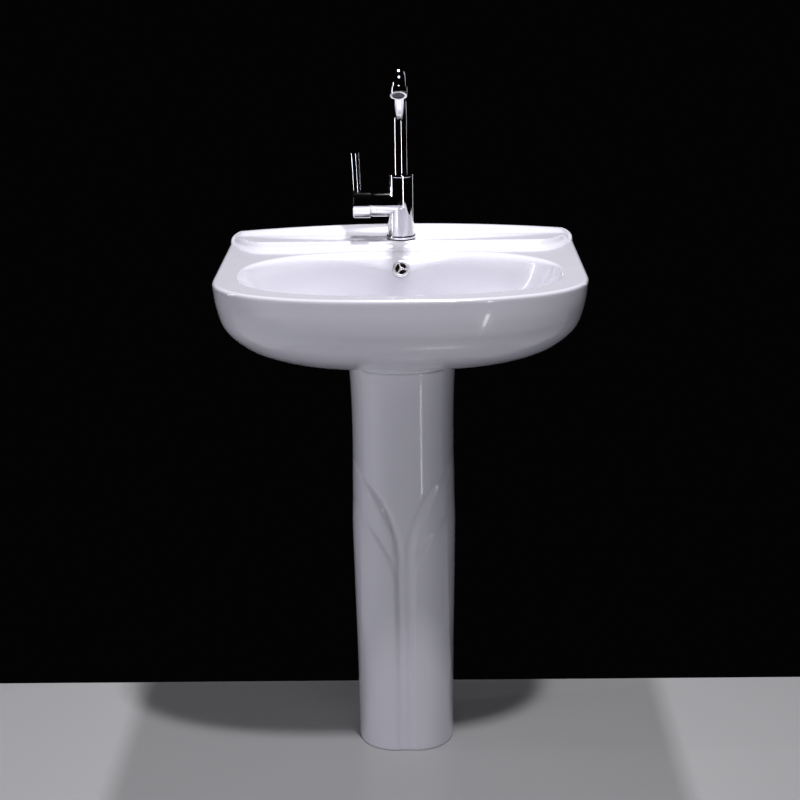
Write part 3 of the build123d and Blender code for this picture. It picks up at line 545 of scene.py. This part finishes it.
def lay_basin():
    """All rings of the basin's skin, from the waste hole round to the waste hole again."""
    rings = []

    def level(plan, height):
        rings.append(np.column_stack([plan, np.full(COLUMNS, float(height))]))

    def between(first, second, shares):
        for share in shares:
            rings.append(first + (second - first) * share)

    floor = bowl_points(np.zeros(COLUMNS))
    from_waste = floor[:, :2] - (0.0, WASTE_Y)
    to_floor = from_waste / np.hypot(*from_waste.T)[:, None]
    hole = np.array([0.0, WASTE_Y]) + to_floor * WASTE_R
    for height in (BOSS_Z + 1, 680.0, 690.0, FLOOR_Z - 1.2):
        level(hole, height)
    level(hole + to_floor * 0.4, FLOOR_Z - 0.3)
    level(hole + to_floor * 1.4, FLOOR_Z)
    floor_start = np.column_stack([hole + to_floor * 1.4, np.full(COLUMNS, FLOOR_Z)])
    between(floor_start, floor, np.linspace(0.15, 1, 8))
    # up the bowl, as far as the rounding of the lip
    lip_start = np.interp(RIM_Z - lip_round, fine_height, fine)
    for share in np.linspace(0, 1, 49)[1:]:
        rings.append(bowl_points(lip_start * share))
    # over the lip
    below = bowl_points(lip_start)
    edge = bowl_points(np.full(COLUMNS, len(BOWL) - 1.0))
    edge[:, 2] = top_height(edge[:, 0], edge[:, 1])
    outward = rim_outline - edge[:, :2]
    reach = np.hypot(*outward.T)
    lip_share = np.minimum(lip_round / reach, 0.9)
    above_plan = edge[:, :2] + outward * lip_share[:, None]
    above = np.column_stack([above_plan, top_height(above_plan[:, 0], above_plan[:, 1])])
    for t in np.linspace(0, 1, 10)[1:]:
        rings.append(below * (1 - t) ** 2 + edge * 2 * t * (1 - t) + above * t * t)
    # across the top
    for t in np.linspace(0, 1, 49)[1:]:
        plan = above_plan + (rim_outline - above_plan) * t
        rings.append(np.column_stack([plan, top_height(plan[:, 0], plan[:, 1])]))
    # round the outer edge: wide in front and at the sides, narrow along the wall
    edge_height = rings[-1][:, 2]
    for t in np.linspace(0, 1, 9)[1:]:
        turn = t * math.pi / 2
        shrink = EDGE_ROUND * (1 - math.sin(turn))
        back = WALL_Y - shrink * 3.0 / EDGE_ROUND
        plan = shell_ring(HALF - shrink, -220.0 + shrink, -64.0, back, CORNER_ROUND)
        along_wall = ease(plan[:, 1], 205.0, 217.0)
        fall = (EDGE_ROUND + (3.0 - EDGE_ROUND) * along_wall) * (1 - math.cos(turn))
        rings.append(np.column_stack([plan, edge_height - fall]))
    # down the outside
    last = rings[-1][:, 2]
    for share in np.linspace(1, 0, 50)[1:]:
        section = along_sections(SHELL, share * (len(SHELL) - 1))
        extra = (last - SHELL[-1][0]) * ease(section[0], 750.0, RIM_Z)
        plan = shell_ring(section[1], section[2], section[3], WALL_Y, CORNER_ROUND)
        rings.append(np.column_stack([plan, section[0] + extra]))
    # round the seat and up inside the hollow
    for share in (0.35, 1.0):
        section = SHELL[0]
        inset = SKIN * share
        level(shell_ring(section[1] - inset, section[2] + inset, section[3], WALL_Y - inset, 4.0), SEAT_Z)
    for share in np.linspace(0, 1, 16)[1:]:
        section = along_sections(SHELL, share * (len(SHELL) - 1))
        height = SEAT_Z + (section[0] - SEAT_Z) * (HOLLOW_TOP_Z - SEAT_Z) / (RIM_Z - SEAT_Z)
        level(
            shell_ring(section[1] - SKIN, section[2] + SKIN, section[3], WALL_Y - SKIN, 4.0),
            height,
        )
    # under the ledge and down the bowl's outside
    inner_top = rings[-1]
    outside_top = bowl_points(np.full(COLUMNS, 4.2))
    outside_top[:, :2] += way * SKIN
    outside_top[:, 2] = HOLLOW_TOP_Z
    between(inner_top, outside_top, np.linspace(0, 1, 7)[1:])
    for position in np.linspace(4.0, 0.35, 14):
        grown = bowl_points(np.full(COLUMNS, position))
        grown[:, :2] += way * SKIN
        grown[:, 2] -= SKIN
        rings.append(grown)
    boss = np.array([0.0, WASTE_Y]) + to_floor * BOSS_R
    level(boss, FLOOR_Z - SKIN)
    level(boss, BOSS_Z + 1)
    level(boss - to_floor, BOSS_Z)
    level(hole + to_floor, BOSS_Z)
    return rings


def skin(name, rings, closed=True):
    """One closed mesh from rings of points in mm."""
    count = len(rings[0])
    points = np.concatenate(rings) * MM
    faces = []
    pairs = [(k, k + 1) for k in range(len(rings) - 1)]
    if closed:
        pairs.append((len(rings) - 1, 0))
    for lower, upper in pairs:
        for column in range(count):
            beside = (column + 1) % count
            faces.append(
                (
                    lower * count + column, lower * count + beside,
                    upper * count + beside, upper * count + column,
                )
            )
    mesh = bpy.data.meshes.new(name)
    mesh.from_pydata(points.tolist(), [], faces)
    mesh.update()
    piece = bpy.data.objects.new(name, mesh)
    bpy.context.scene.collection.objects.link(piece)
    pick(piece)
    bpy.ops.object.mode_set(mode="EDIT")
    bpy.ops.mesh.select_all(action="SELECT")
    bpy.ops.mesh.normals_make_consistent(inside=False)
    bpy.ops.object.mode_set(mode="OBJECT")
    return piece


basin_skin = skin("basin_skin", lay_basin())
print("basin quads", len(basin_skin.data.polygons))

# %% [markdown]
# Holes are punched while the clay is soft: for the tap, the overflow, the two wall bolts, and a large one
# underneath for a spanner. Each is a round bar or a block taken away.

# %% Holes of the basin
TAP_Y = (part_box("tap_base_ring")[0].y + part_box("tap_base_ring")[1].y) / 2 / MM
OVERFLOW_Y, OVERFLOW_Z, OVERFLOW_TILT = 86.0, 792.0, math.radians(15.0)


def bar(radius, length, location, rotation=(0, 0, 0)):
    """Round cutter, centred on its place."""
    clear_selection()
    bpy.ops.mesh.primitive_cylinder_add(
        vertices=64, radius=radius * MM, depth=length * MM,
        location=[value * MM for value in location], rotation=rotation,
    )
    bpy.ops.object.transform_apply(location=True, rotation=True, scale=True)
    return bpy.context.object


def brick(low, high):
    """Block between two corners, in mm."""
    clear_selection()
    middle = [(a + b) / 2 * MM for a, b in zip(low, high)]
    bpy.ops.mesh.primitive_cube_add(size=1, location=middle, scale=[(b - a) * MM for a, b in zip(low, high)])
    bpy.ops.object.transform_apply(location=True, rotation=True, scale=True)
    return bpy.context.object


cutters = [
    bar(17.5, 60, (0, TAP_Y, 820)),
    bar(10.5, 40, (0, OVERFLOW_Y + 8, OVERFLOW_Z - 2), (math.pi / 2 - OVERFLOW_TILT, 0, 0)),
    bar(7.0, 40, (-140, WALL_Y - 6, 745), (math.pi / 2, 0, 0)),
    bar(7.0, 40, (140, WALL_Y - 6, 745), (math.pi / 2, 0, 0)),
    brick((-120, 126, 640), (120, WALL_Y - SKIN, 730)),
]
combine(basin_skin, join(cutters, "basin_holes"), "DIFFERENCE")
smooth(basin_skin, 32)
finish_piece(basin_skin, "sink", "glaze", glaze_finish, "basin")

# %% [markdown]
# The pedestal is a cast half-tube, open towards the wall to hide the pipes. Its front carries a relief of
# two pairs of leaves that rise from a slim stem: the leaves' edges are soft steps, a couple of mm high. The
# relief follows curves over a curved face, so the tube is laid as rings too, and each point of the front is
# moved out by the height of the relief at its place.

# %% Relief and rings of the pedestal
PEDESTAL = np.array([
    (0.0, 80.0),
    (140.0, 80.3),
    (300.0, 82.0),
    (400.0, 83.0),
    (540.0, 81.8),
    (620.0, 83.5),
    (SEAT_Z, 86.5),
])
PEDESTAL_POWER = 2.6
PEDESTAL_BACK_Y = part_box("pedestal")[1].y / MM
PEDESTAL_WIDEST_Y = 46.0
UPPER_LEAF = (336.0, 480.0, 9.5, 56.0, 2.1)  # stem end z, tip z, half width at the stem, spread, power
LOWER_LEAF = (296.0, 402.0, 10.0, 46.0, 1.9)


def leaf_edge(z, leaf):
    """Half width at which a leaf's inner edge runs, at a height."""
    stem_z, tip_z, narrow, wide, power = leaf
    climb = np.clip((z - stem_z) / (tip_z - stem_z), 0, 1.6)
    return narrow + wide * climb ** power


def relief(x, z):
    """Height of the relief in mm at a place of the front."""
    side = np.abs(x)
    from_upper = side - leaf_edge(z, UPPER_LEAF)
    from_lower = side - leaf_edge(z, LOWER_LEAF)
    upper = ease(from_upper, -2.0, 9.0) * (1 - ease(z, 462.0, 512.0)) * (0.3 + 0.7 * ease(z, 60.0, 360.0))
    lower = ease(from_lower, -2.0, 8.0) * (1 - ease(z, 392.0, 436.0)) * (0.3 + 0.7 * ease(z, 40.0, 300.0))
    groove = np.exp(-(((from_upper + 3.0) / 5.0) ** 2)) * (1 - ease(z, 450.0, 492.0))
    groove = groove * (0.55 + 0.45 * ease(z, 300.0, 380.0))
    stem = np.exp(-((x / 8.0) ** 2)) * (1 - ease(z, 300.0, 400.0))
    return 3.4 * upper + 2.4 * lower - 1.9 * groove + 0.9 * stem - 2.0


def pedestal_ring(z, inset, back):
    """Half outline in plan from the right rear edge round the front to the left rear edge."""
    half = np.interp(z, fine_pedestal[:, 0], fine_pedestal[:, 1])
    depth = half * 1.07
    front = np.stack(
        [
            pedestal_front[:, 0] * (half - inset),
            PEDESTAL_WIDEST_Y + pedestal_front[:, 1] * (depth - inset),
        ],
        axis=1,
    )
    if inset == 0:
        outward = np.stack([pedestal_front[:, 0], pedestal_front[:, 1]], axis=1)
        outward = outward / np.hypot(*outward.T)[:, None]
        fade = ease(-pedestal_front[:, 1], 0.0, 0.6)
        front = front + outward * (relief(front[:, 0], z) * fade)[:, None]
    side_y = np.linspace(PEDESTAL_WIDEST_Y, back, 15)[1:]
    left = np.stack([np.full(14, -(half - inset)), side_y], axis=1)
    return np.concatenate([left[::-1] * (-1, 1), front, left])


pedestal_front = spread_evenly(rounded_front(PEDESTAL_POWER), 161)
fine_pedestal = along_sections(PEDESTAL, np.linspace(0, len(PEDESTAL) - 1, 400))
PEDESTAL_EDGE_ROUND = 2.5
LUG_SCREW_X = 58.0
LUG_SCREW_Y = 92.0
pedestal_heights = np.concatenate([[0.0], np.linspace(5, SEAT_Z - 5, 215), [SEAT_Z]])
pedestal_rings = []
for z in pedestal_heights:
    outer = pedestal_ring(z, 0.0, PEDESTAL_BACK_Y)
    inner = pedestal_ring(z, SKIN, PEDESTAL_BACK_Y)[::-1]
    plan = np.concatenate([outer, inner])
    pedestal_rings.append(np.column_stack([plan, np.full(len(plan), z)]))
pedestal_skin = skin("pedestal_skin", pedestal_rings, closed=False)
print("pedestal quads", len(pedestal_skin.data.polygons))

# %% [markdown]
# The two ends of the tube are closed with a strip of faces between its outer and its inner line, and its
# edges are rounded as glaze rounds them. Two lugs at the floor take the screws.

# %% Ends, edges and lugs of the pedestal
def close_ends(piece, count):
    """Strips of quads across the foot and the top."""
    mesh = bmesh.new()
    mesh.from_mesh(piece.data)
    mesh.verts.ensure_lookup_table()
    half_count = count // 2
    top = len(mesh.verts) - count
    for start in (0, top):
        for column in range(half_count - 1):
            across = start + count - 1 - column
            corners = [start + column, start + column + 1, across - 1, across]
            mesh.faces.new([mesh.verts[k] for k in corners])
    bmesh.ops.recalc_face_normals(mesh, faces=mesh.faces)
    mesh.to_mesh(piece.data)
    mesh.free()


close_ends(pedestal_skin, len(pedestal_rings[0]))
lugs = []
for side in (-1, 1):
    reach = 80.0 - SKIN / 2
    edges = sorted((side * reach, side * (reach - SKIN - 16.0)))
    lug = brick((edges[0], 78, 0), (edges[1], 106, 14))
    combine(lug, bar(3.5, 60, (side * LUG_SCREW_X, LUG_SCREW_Y, 5)), "DIFFERENCE")
    lugs.append(lug)
round_edges(pedestal_skin, PEDESTAL_EDGE_ROUND, 3, 60)
combine(pedestal_skin, join(lugs, "foot_lugs"), "UNION")
smooth(pedestal_skin, 40)
finish_piece(pedestal_skin, "sink", "glaze", glaze_finish, "pedestal")

# %% [markdown]
# The overflow is a small chrome ring with three curved arms, pushed into its hole. A ring is turned, one arm
# is modelled and then copied twice.

# %% Overflow grille
grille_ring = turned(
    "overflow_cover",
    [
        (9.0, -11.0), (10.4, -11.0), (10.4, 0.0), (13.5, 0.0), (13.5, 1.6),
        (11.6, 2.5), (9.4, 2.2), (9.0, 1.4), (9.0, -11.0),
    ],
)
round_edges(grille_ring, 0.35, 2)
arms = []
for turn in (110, 230, 350):
    clear_selection()
    bpy.ops.mesh.primitive_cube_add(size=1, location=(0.0046, 0, 0.0008), scale=(0.0098, 0.0024, 0.0022))
    arm = bpy.context.object
    bpy.ops.object.transform_apply(location=True, rotation=True, scale=True)
    bpy.ops.object.mode_set(mode="EDIT")
    bpy.ops.mesh.select_all(action="SELECT")
    bpy.ops.mesh.subdivide(number_cuts=5)
    bpy.ops.object.mode_set(mode="OBJECT")
    for vertex in arm.data.vertices:
        vertex.co.y += 14.0 * (vertex.co.x - 0.0046) ** 2
    apply_modifier(arm, "BEVEL", width=0.0009, segments=4, limit_method="ANGLE")
    settle(arm, rotation=(0, 0, math.radians(turn)))
    arms.append(arm)
hub = turned("grille_hub", [(0, 0), (2.6, 0), (2.6, 1.6), (1.8, 2.2), (0, 2.4)], 48)
grille = join([grille_ring, *arms, hub], "overflow_cover")
settle(
    grille,
    location=(0, OVERFLOW_Y - 1.5 * math.cos(OVERFLOW_TILT), OVERFLOW_Z + 1.5 * math.sin(OVERFLOW_TILT)),
    rotation=(math.pi / 2 - OVERFLOW_TILT, 0, 0),
)
smooth(grille)
finish_piece(grille, "sink", "chrome", satin_finish, "overflow_grille")

# %% [markdown]
# The tap's body is a round brass casting with a level neck for the valve, chrome plated. Both parts are
# turned shapes, welded into one and rounded a little where light catches the edge.

# %% Tap body, foot ring and cap
VALVE_Z = 883.0
BODY_R = 21.75
BODY_FOOT_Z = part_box("tap_body")[0].z / MM
FACING_LEFT = (0, -math.pi / 2, 0)  # turns a piece from +Z to -X

body_profile = [
    (16.5, BODY_FOOT_Z), (21.2, BODY_FOOT_Z), (BODY_R, BODY_FOOT_Z + 0.6), (BODY_R, 927), (12.6, 927),
    (12.6, 905), (0, 905), (0, 850), (16.5, 850), (16.5, BODY_FOOT_Z),
]
body_tube = turned("tap_casting", body_profile, 128)
settle(body_tube, location=(0, TAP_Y, 0))
neck_profile = [(0, 2), (21.5, 2), (21.5, 38.9), (21.0, 39.5), (17.6, 39.5), (17.6, 32.0), (0, 32.0)]
neck = turned("valve_neck", neck_profile, 128)
settle(neck, location=(0, TAP_Y, VALVE_Z), rotation=FACING_LEFT)
combine(body_tube, neck, "UNION")
smooth(body_tube, 30, weighted=True)
finish_piece(body_tube, "sink", "chrome", chrome_finish, "tap_body")

foot_ring = turned("tap_foot_ring", [(16, 826.5), (24, 826.5), (24, 831.5), (16, 831.5), (16, 826.5)], 128)
round_edges(foot_ring, 1.4, 4)
settle(foot_ring, location=(0, TAP_Y, 0))
smooth(foot_ring, weighted=True)
finish_piece(foot_ring, "sink", "chrome", chrome_finish, "tap_base_ring")

cap_ring = turned("spout_collar", [(12.4, 927), (21.75, 927), (21.75, 932), (12.4, 932), (12.4, 927)], 128)
round_edges(cap_ring, 1.3, 4)
settle(cap_ring, location=(0, TAP_Y, 0))
smooth(cap_ring, weighted=True)
finish_piece(cap_ring, "sink", "chrome", chrome_finish, "spout_cap")

# %% [markdown]
# The spout is a bent tube. A ring of vertices is drawn up for the riser, then spun round the centre of the
# wide bend and round the centre of the tight one, just as a tube bender does it.

# %% Spout
SPOUT_R = 12.0
SPOUT_FOOT_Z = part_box("spout")[0].z / MM
BEND_Z = 1010.0
RISE_R = 94.0
FALL_R = 27.0
FALL_TURN = math.radians(75.0)


def spin_ring(angle, centre, steps):
    """Draws the selected ring round a centre, about the X axis."""
    bpy.ops.mesh.spin(steps=steps, angle=angle, center=[value * MM for value in centre], axis=(1, 0, 0))


clear_selection()
bpy.ops.mesh.primitive_circle_add(
    vertices=96, radius=SPOUT_R * MM, location=(0, TAP_Y * MM, SPOUT_FOOT_Z * MM)
)
spout_tube = bpy.context.object
spout_tube.name = "spout_tube"
bpy.ops.object.transform_apply(location=True, rotation=True, scale=True)
bpy.ops.object.mode_set(mode="EDIT")
bpy.ops.mesh.select_all(action="SELECT")
for lift in (30.0, BEND_Z - SPOUT_FOOT_Z - 30.0):
    bpy.ops.mesh.extrude_region_move(TRANSFORM_OT_translate={"value": (0, 0, lift * MM)})
spin_ring(-math.pi / 2, (0, TAP_Y - RISE_R, BEND_Z), 48)
spin_ring(-FALL_TURN, (0, TAP_Y - RISE_R, BEND_Z + RISE_R - FALL_R), 24)
bpy.ops.mesh.select_all(action="SELECT")
bpy.ops.mesh.remove_doubles(threshold=0.00001)
bpy.ops.mesh.normals_make_consistent(inside=False)
bpy.ops.object.mode_set(mode="OBJECT")
low_z = min(vertex.co.z for vertex in spout_tube.data.vertices)
high_z = max(vertex.co.z for vertex in spout_tube.data.vertices)
low_y = min(vertex.co.y for vertex in spout_tube.data.vertices)
print("spout z", round(low_z, 4), round(high_z, 4), "y", round(low_y, 4))
apply_modifier(spout_tube, "SOLIDIFY", thickness=1.6 * MM, offset=-1)
smooth(spout_tube)
finish_piece(spout_tube, "spout_unit", "chrome", chrome_finish, "spout")

# %% [markdown]
# The spout ends in a collar and a ball nose, cut off on the slant for the aerator. The nose is turned as one
# piece with the collar, bisected at the mouth, and the mouth is inset and pushed in.

# %% Spout mouth
MOUTH_DIP = math.radians(55.0)
END_Y = TAP_Y - RISE_R - FALL_R * math.sin(FALL_TURN)
END_Z = BEND_Z + RISE_R - FALL_R * (1 - math.cos(FALL_TURN))
flow = Vector((0, -math.cos(FALL_TURN), -math.sin(FALL_TURN)))
look = Vector((0, -math.cos(MOUTH_DIP), -math.sin(MOUTH_DIP)))
ball = [
    (14.0 * math.cos(math.radians(a)), 9.0 + 14.0 * math.sin(math.radians(a)))
    for a in range(-4, 91, 4)
]
nose_profile = [
    (0, 0.1), (13.2, 0.1), (13.8, 0.25), (14.2, 0.65), (14.4, 1.2),
    (14.4, 8.2), (14.2, 8.6), *ball, (0, 23.0),
]
mouth = turned("spout_nose", nose_profile, 96)
settle(mouth, location=(0, END_Y, END_Z), rotation=(math.pi - (math.pi / 2 - FALL_TURN), 0, 0))
middle = Vector((0, END_Y, END_Z)) + flow * 9.0
cut = middle + look * 5.0
pick(mouth)
bpy.ops.object.mode_set(mode="EDIT")
bpy.ops.mesh.select_all(action="SELECT")
bpy.ops.mesh.bisect(plane_co=cut * MM, plane_no=look, use_fill=True, clear_outer=True)
bpy.ops.mesh.inset(thickness=3.4 * MM)
bpy.ops.mesh.extrude_region_move(TRANSFORM_OT_translate={"value": look * -1.6 * MM})
bpy.ops.mesh.select_all(action="SELECT")
bpy.ops.mesh.normals_make_consistent(inside=False)
bpy.ops.object.mode_set(mode="OBJECT")
round_edges(mouth, 0.4, 2, 50)
smooth(mouth, weighted=True)
centre_mouth = sum((Vector(v.co) for v in mouth.data.vertices), Vector()) / len(mouth.data.vertices)
print("nose centre", [round(value, 4) for value in centre_mouth])
finish_piece(mouth, "spout_unit", "chrome", chrome_finish, "aerator_housing")

# %% [markdown]
# The valve's dome is round about the lever's pivot, so that the hub can tilt over it with an even gap. The
# hub is a short cup, and the lever a slim rod with a rounded top that leans out a little.

# %% Dome, hub and lever
PIVOT = 42.0
dome_points = [
    (21.5 * math.sin(math.radians(a)), PIVOT + 21.5 * math.cos(math.radians(a)))
    for a in range(90, 48, -3)
]
dome_inner = [
    (18.5 * math.sin(math.radians(a)), PIVOT + 18.5 * math.cos(math.radians(a))) for a in range(42, 91, 4)
]
dome = turned("valve_cover", [(18.5, 39.6), (21.5, 39.6), *dome_points, *dome_inner, (18.5, 39.6)], 128)
settle(dome, location=(0, TAP_Y, VALVE_Z), rotation=FACING_LEFT)
smooth(dome, weighted=True)
finish_piece(dome, "sink", "chrome", chrome_finish, "valve_dome")

hollow_points = [
    (21.9 * math.sin(math.radians(a)), PIVOT + 21.9 * math.cos(math.radians(a))) for a in range(0, 70, 4)
]
hub_profile = [
    *hollow_points, (20.75, 49.0), (23.2, 49.0), (23.5, 49.3), (23.5, 76.0), (22.4, 77.0), (0, 77.0),
]
handle_cup = turned("handle_cup", hub_profile, 128)
round_edges(handle_cup, 0.3, 2, 30)
settle(handle_cup, location=(0, TAP_Y, VALVE_Z), rotation=FACING_LEFT)
smooth(handle_cup, weighted=True)
finish_piece(handle_cup, "lever_unit", "chrome", chrome_finish, "handle_hub")

LEAN = math.radians(2.4)
LEVER_LENGTH = (967.0 - VALVE_Z) / math.cos(LEAN)
lever = turned("lever", [(0, 18), (7.5, 18), (7.5, LEVER_LENGTH), (0, LEVER_LENGTH)], 64)
round_edges(lever, 1.0, 4)
settle(lever, location=(-70.0, TAP_Y, VALVE_Z), rotation=(0, -LEAN, 0))
smooth(lever, weighted=True)
finish_piece(lever, "lever_unit", "chrome", chrome_finish, "lever_rod")

# %% [markdown]
# In the bowl's floor sit the polished flange and the press plug. The plug is a shallow dome, so that water
# runs off it; both are turned.

# %% Waste flange and plug
flange = turned(
    "waste_rim",
    [
        (16.2, 687.2), (18.6, 687.2), (18.6, 701.2), (31.0, 701.2), (31.5, 701.6), (30.6, 702.8),
        (27.0, 703.4), (20.6, 703.4), (19.6, 702.4), (19.6, 701.8), (16.2, 701.8), (16.2, 687.2),
    ],
    128,
)
settle(flange, location=(0, WASTE_Y, 0))
smooth(flange, weighted=True)
finish_piece(flange, "sink", "chrome", chrome_finish, "waste_flange")
plug = turned(
    "press_plug",
    [
        (0, 655), (3.5, 655), (3.5, 697.6), (13, 697.6), (13, 702.6), (18.6, 702.6),
        (19.2, 703.2), (18.9, 704.0), (16.0, 705.0), (9.0, 705.8), (0, 706),
    ],
    128,
)
settle(plug, location=(0, WASTE_Y, 0))
smooth(plug, weighted=True)
finish_piece(plug, "plug_unit", "chrome", chrome_finish, "waste_plug")

# %% [markdown]
# The hidden pieces keep the shape that they have in the frame: the valve's inside, the fixings, the tails
# and the trap. Each takes the finish of its material slot.

# %% Finishes of the carried-over nodes
slot_of_node = {entry["node"]: entry["material_slot"] for entry in frame["record"]["subparts"]}
shown = 0
for name, node in frame["nodes"].items():
    for place in node.material_slots:
        place.material = finish_of_slot[slot_of_node[name]]
    shown += not node.hide_render
print("carried-over nodes", shown, "slots", sorted(set(slot_of_node.values())))

# %% [markdown]
# The studio: a plain pale floor that ends at the wall's line, a dark room beyond it, one soft key light
# overhead in front, a second overhead, and narrow upright lights that draw the bright lines on the chrome.

# %% Floor
FLOOR_DEPTH = 2.4


def make_floor():
    clear_selection()
    bpy.ops.mesh.primitive_plane_add(size=1)
    floor = bpy.context.object
    floor.name = "studio_floor"
    floor.scale = (3.6, FLOOR_DEPTH, 1)
    floor.location = (0, WALL_Y * MM - FLOOR_DEPTH / 2, 0)
    bpy.ops.object.transform_apply(location=True, rotation=True, scale=True)
    surface = Finish("pale_floor")
    cloud = surface.noise(1.5, 2.0)
    floor.data.materials.append(
        surface.set(
            Base_Color=surface.blend(cloud, (0.36, 0.36, 0.375, 1), (0.39, 0.39, 0.405, 1)),
            Roughness=0.22 + cloud * 0.05,
        )
    )


make_floor()
print("floor laid")

# %% Lights
TARGET = Vector((0, 0, 0.78))


def light(name, place, width, height, watts, colour=(1, 1, 1), target=TARGET, hidden=False):
    """Soft rectangular lamp aimed at a point."""
    lamp = bpy.data.lights.new(name, "AREA")
    lamp.shape = "RECTANGLE"
    lamp.size = width
    lamp.size_y = height
    lamp.energy = watts
    lamp.color = colour
    holder = bpy.data.objects.new(name, lamp)
    holder.location = place
    holder.rotation_euler = (Vector(target) - Vector(place)).to_track_quat("-Z", "Y").to_euler()
    bpy.context.scene.collection.objects.link(holder)
    if hidden:
        holder.visible_camera = False
        holder.visible_glossy = False
    return holder


light("key", (0.40, -1.00, 3.3), 0.14, 0.14, 66, (1, 0.99, 1))
light("overhead", (0.02, 0.20, 2.1), 0.06, 0.06, 20, (1, 0.99, 1))
light("front_fill", (0, -3.2, 0.7), 2.2, 1.2, 12, (0.95, 0.95, 1), target=(0, 0, 0.3), hidden=True)
light("left_fill", (-1.6, -1.3, 0.5), 0.9, 0.8, 9, (0.95, 0.95, 1), target=(0, 0, 0.3), hidden=True)
light("left_strip", (-1.25, -0.05, 1.1), 0.04, 0.96, 1.7, target=(0, 0.1, 1.1))
light("right_strip", (0.53, -1.12, 0.80), 0.035, 0.50, 0.62, target=(0, 0.1, 0.80))
light("low_strip", (0.53, -1.12, 0.18), 0.035, 0.30, 0.25, target=(0, 0.1, 0.18))
light("rear_strip", (1.4, 1.3, 1.2), 0.08, 1.6, 1.0, target=(0, 0, 0.9))
light("rear_fill", (0, 2.6, 1.3), 2.4, 2.0, 12, hidden=True)
world = bpy.data.worlds.new("dark_room")
world.use_nodes = True
world.node_tree.nodes["Background"].inputs["Color"].default_value = (0.001, 0.001, 0.0012, 1)
bpy.context.scene.world = world
bpy.context.scene.view_settings.view_transform = "Standard"
print("lights set")

# %% [markdown]
# The camera stands in front of the sink, a little above the tap, and looks down on it.

# %% Camera
def set_camera():
    lens = bpy.data.cameras.new("camera")
    lens.lens = 76.05
    lens.sensor_width = 36.0
    lens.dof.use_dof = False
    holder = bpy.data.objects.new("camera", lens)
    bpy.context.scene.collection.objects.link(holder)
    tilt, swing, roll = math.radians(17.24), math.radians(0.70), math.radians(-0.79)
    forward = Vector(
        (-math.sin(swing) * math.cos(tilt), math.cos(swing) * math.cos(tilt), -math.sin(tilt))
    )
    right = Vector((math.cos(swing), math.sin(swing), 0))
    up = right.cross(forward)
    side = right * math.cos(roll) + up * math.sin(roll)
    top = up * math.cos(roll) - right * math.sin(roll)
    turn = Matrix((side, top, -forward)).transposed()
    holder.matrix_world = Matrix.Translation((0.0276, -2.551, 1.391)) @ turn.to_4x4()
    bpy.context.scene.camera = holder


set_camera()
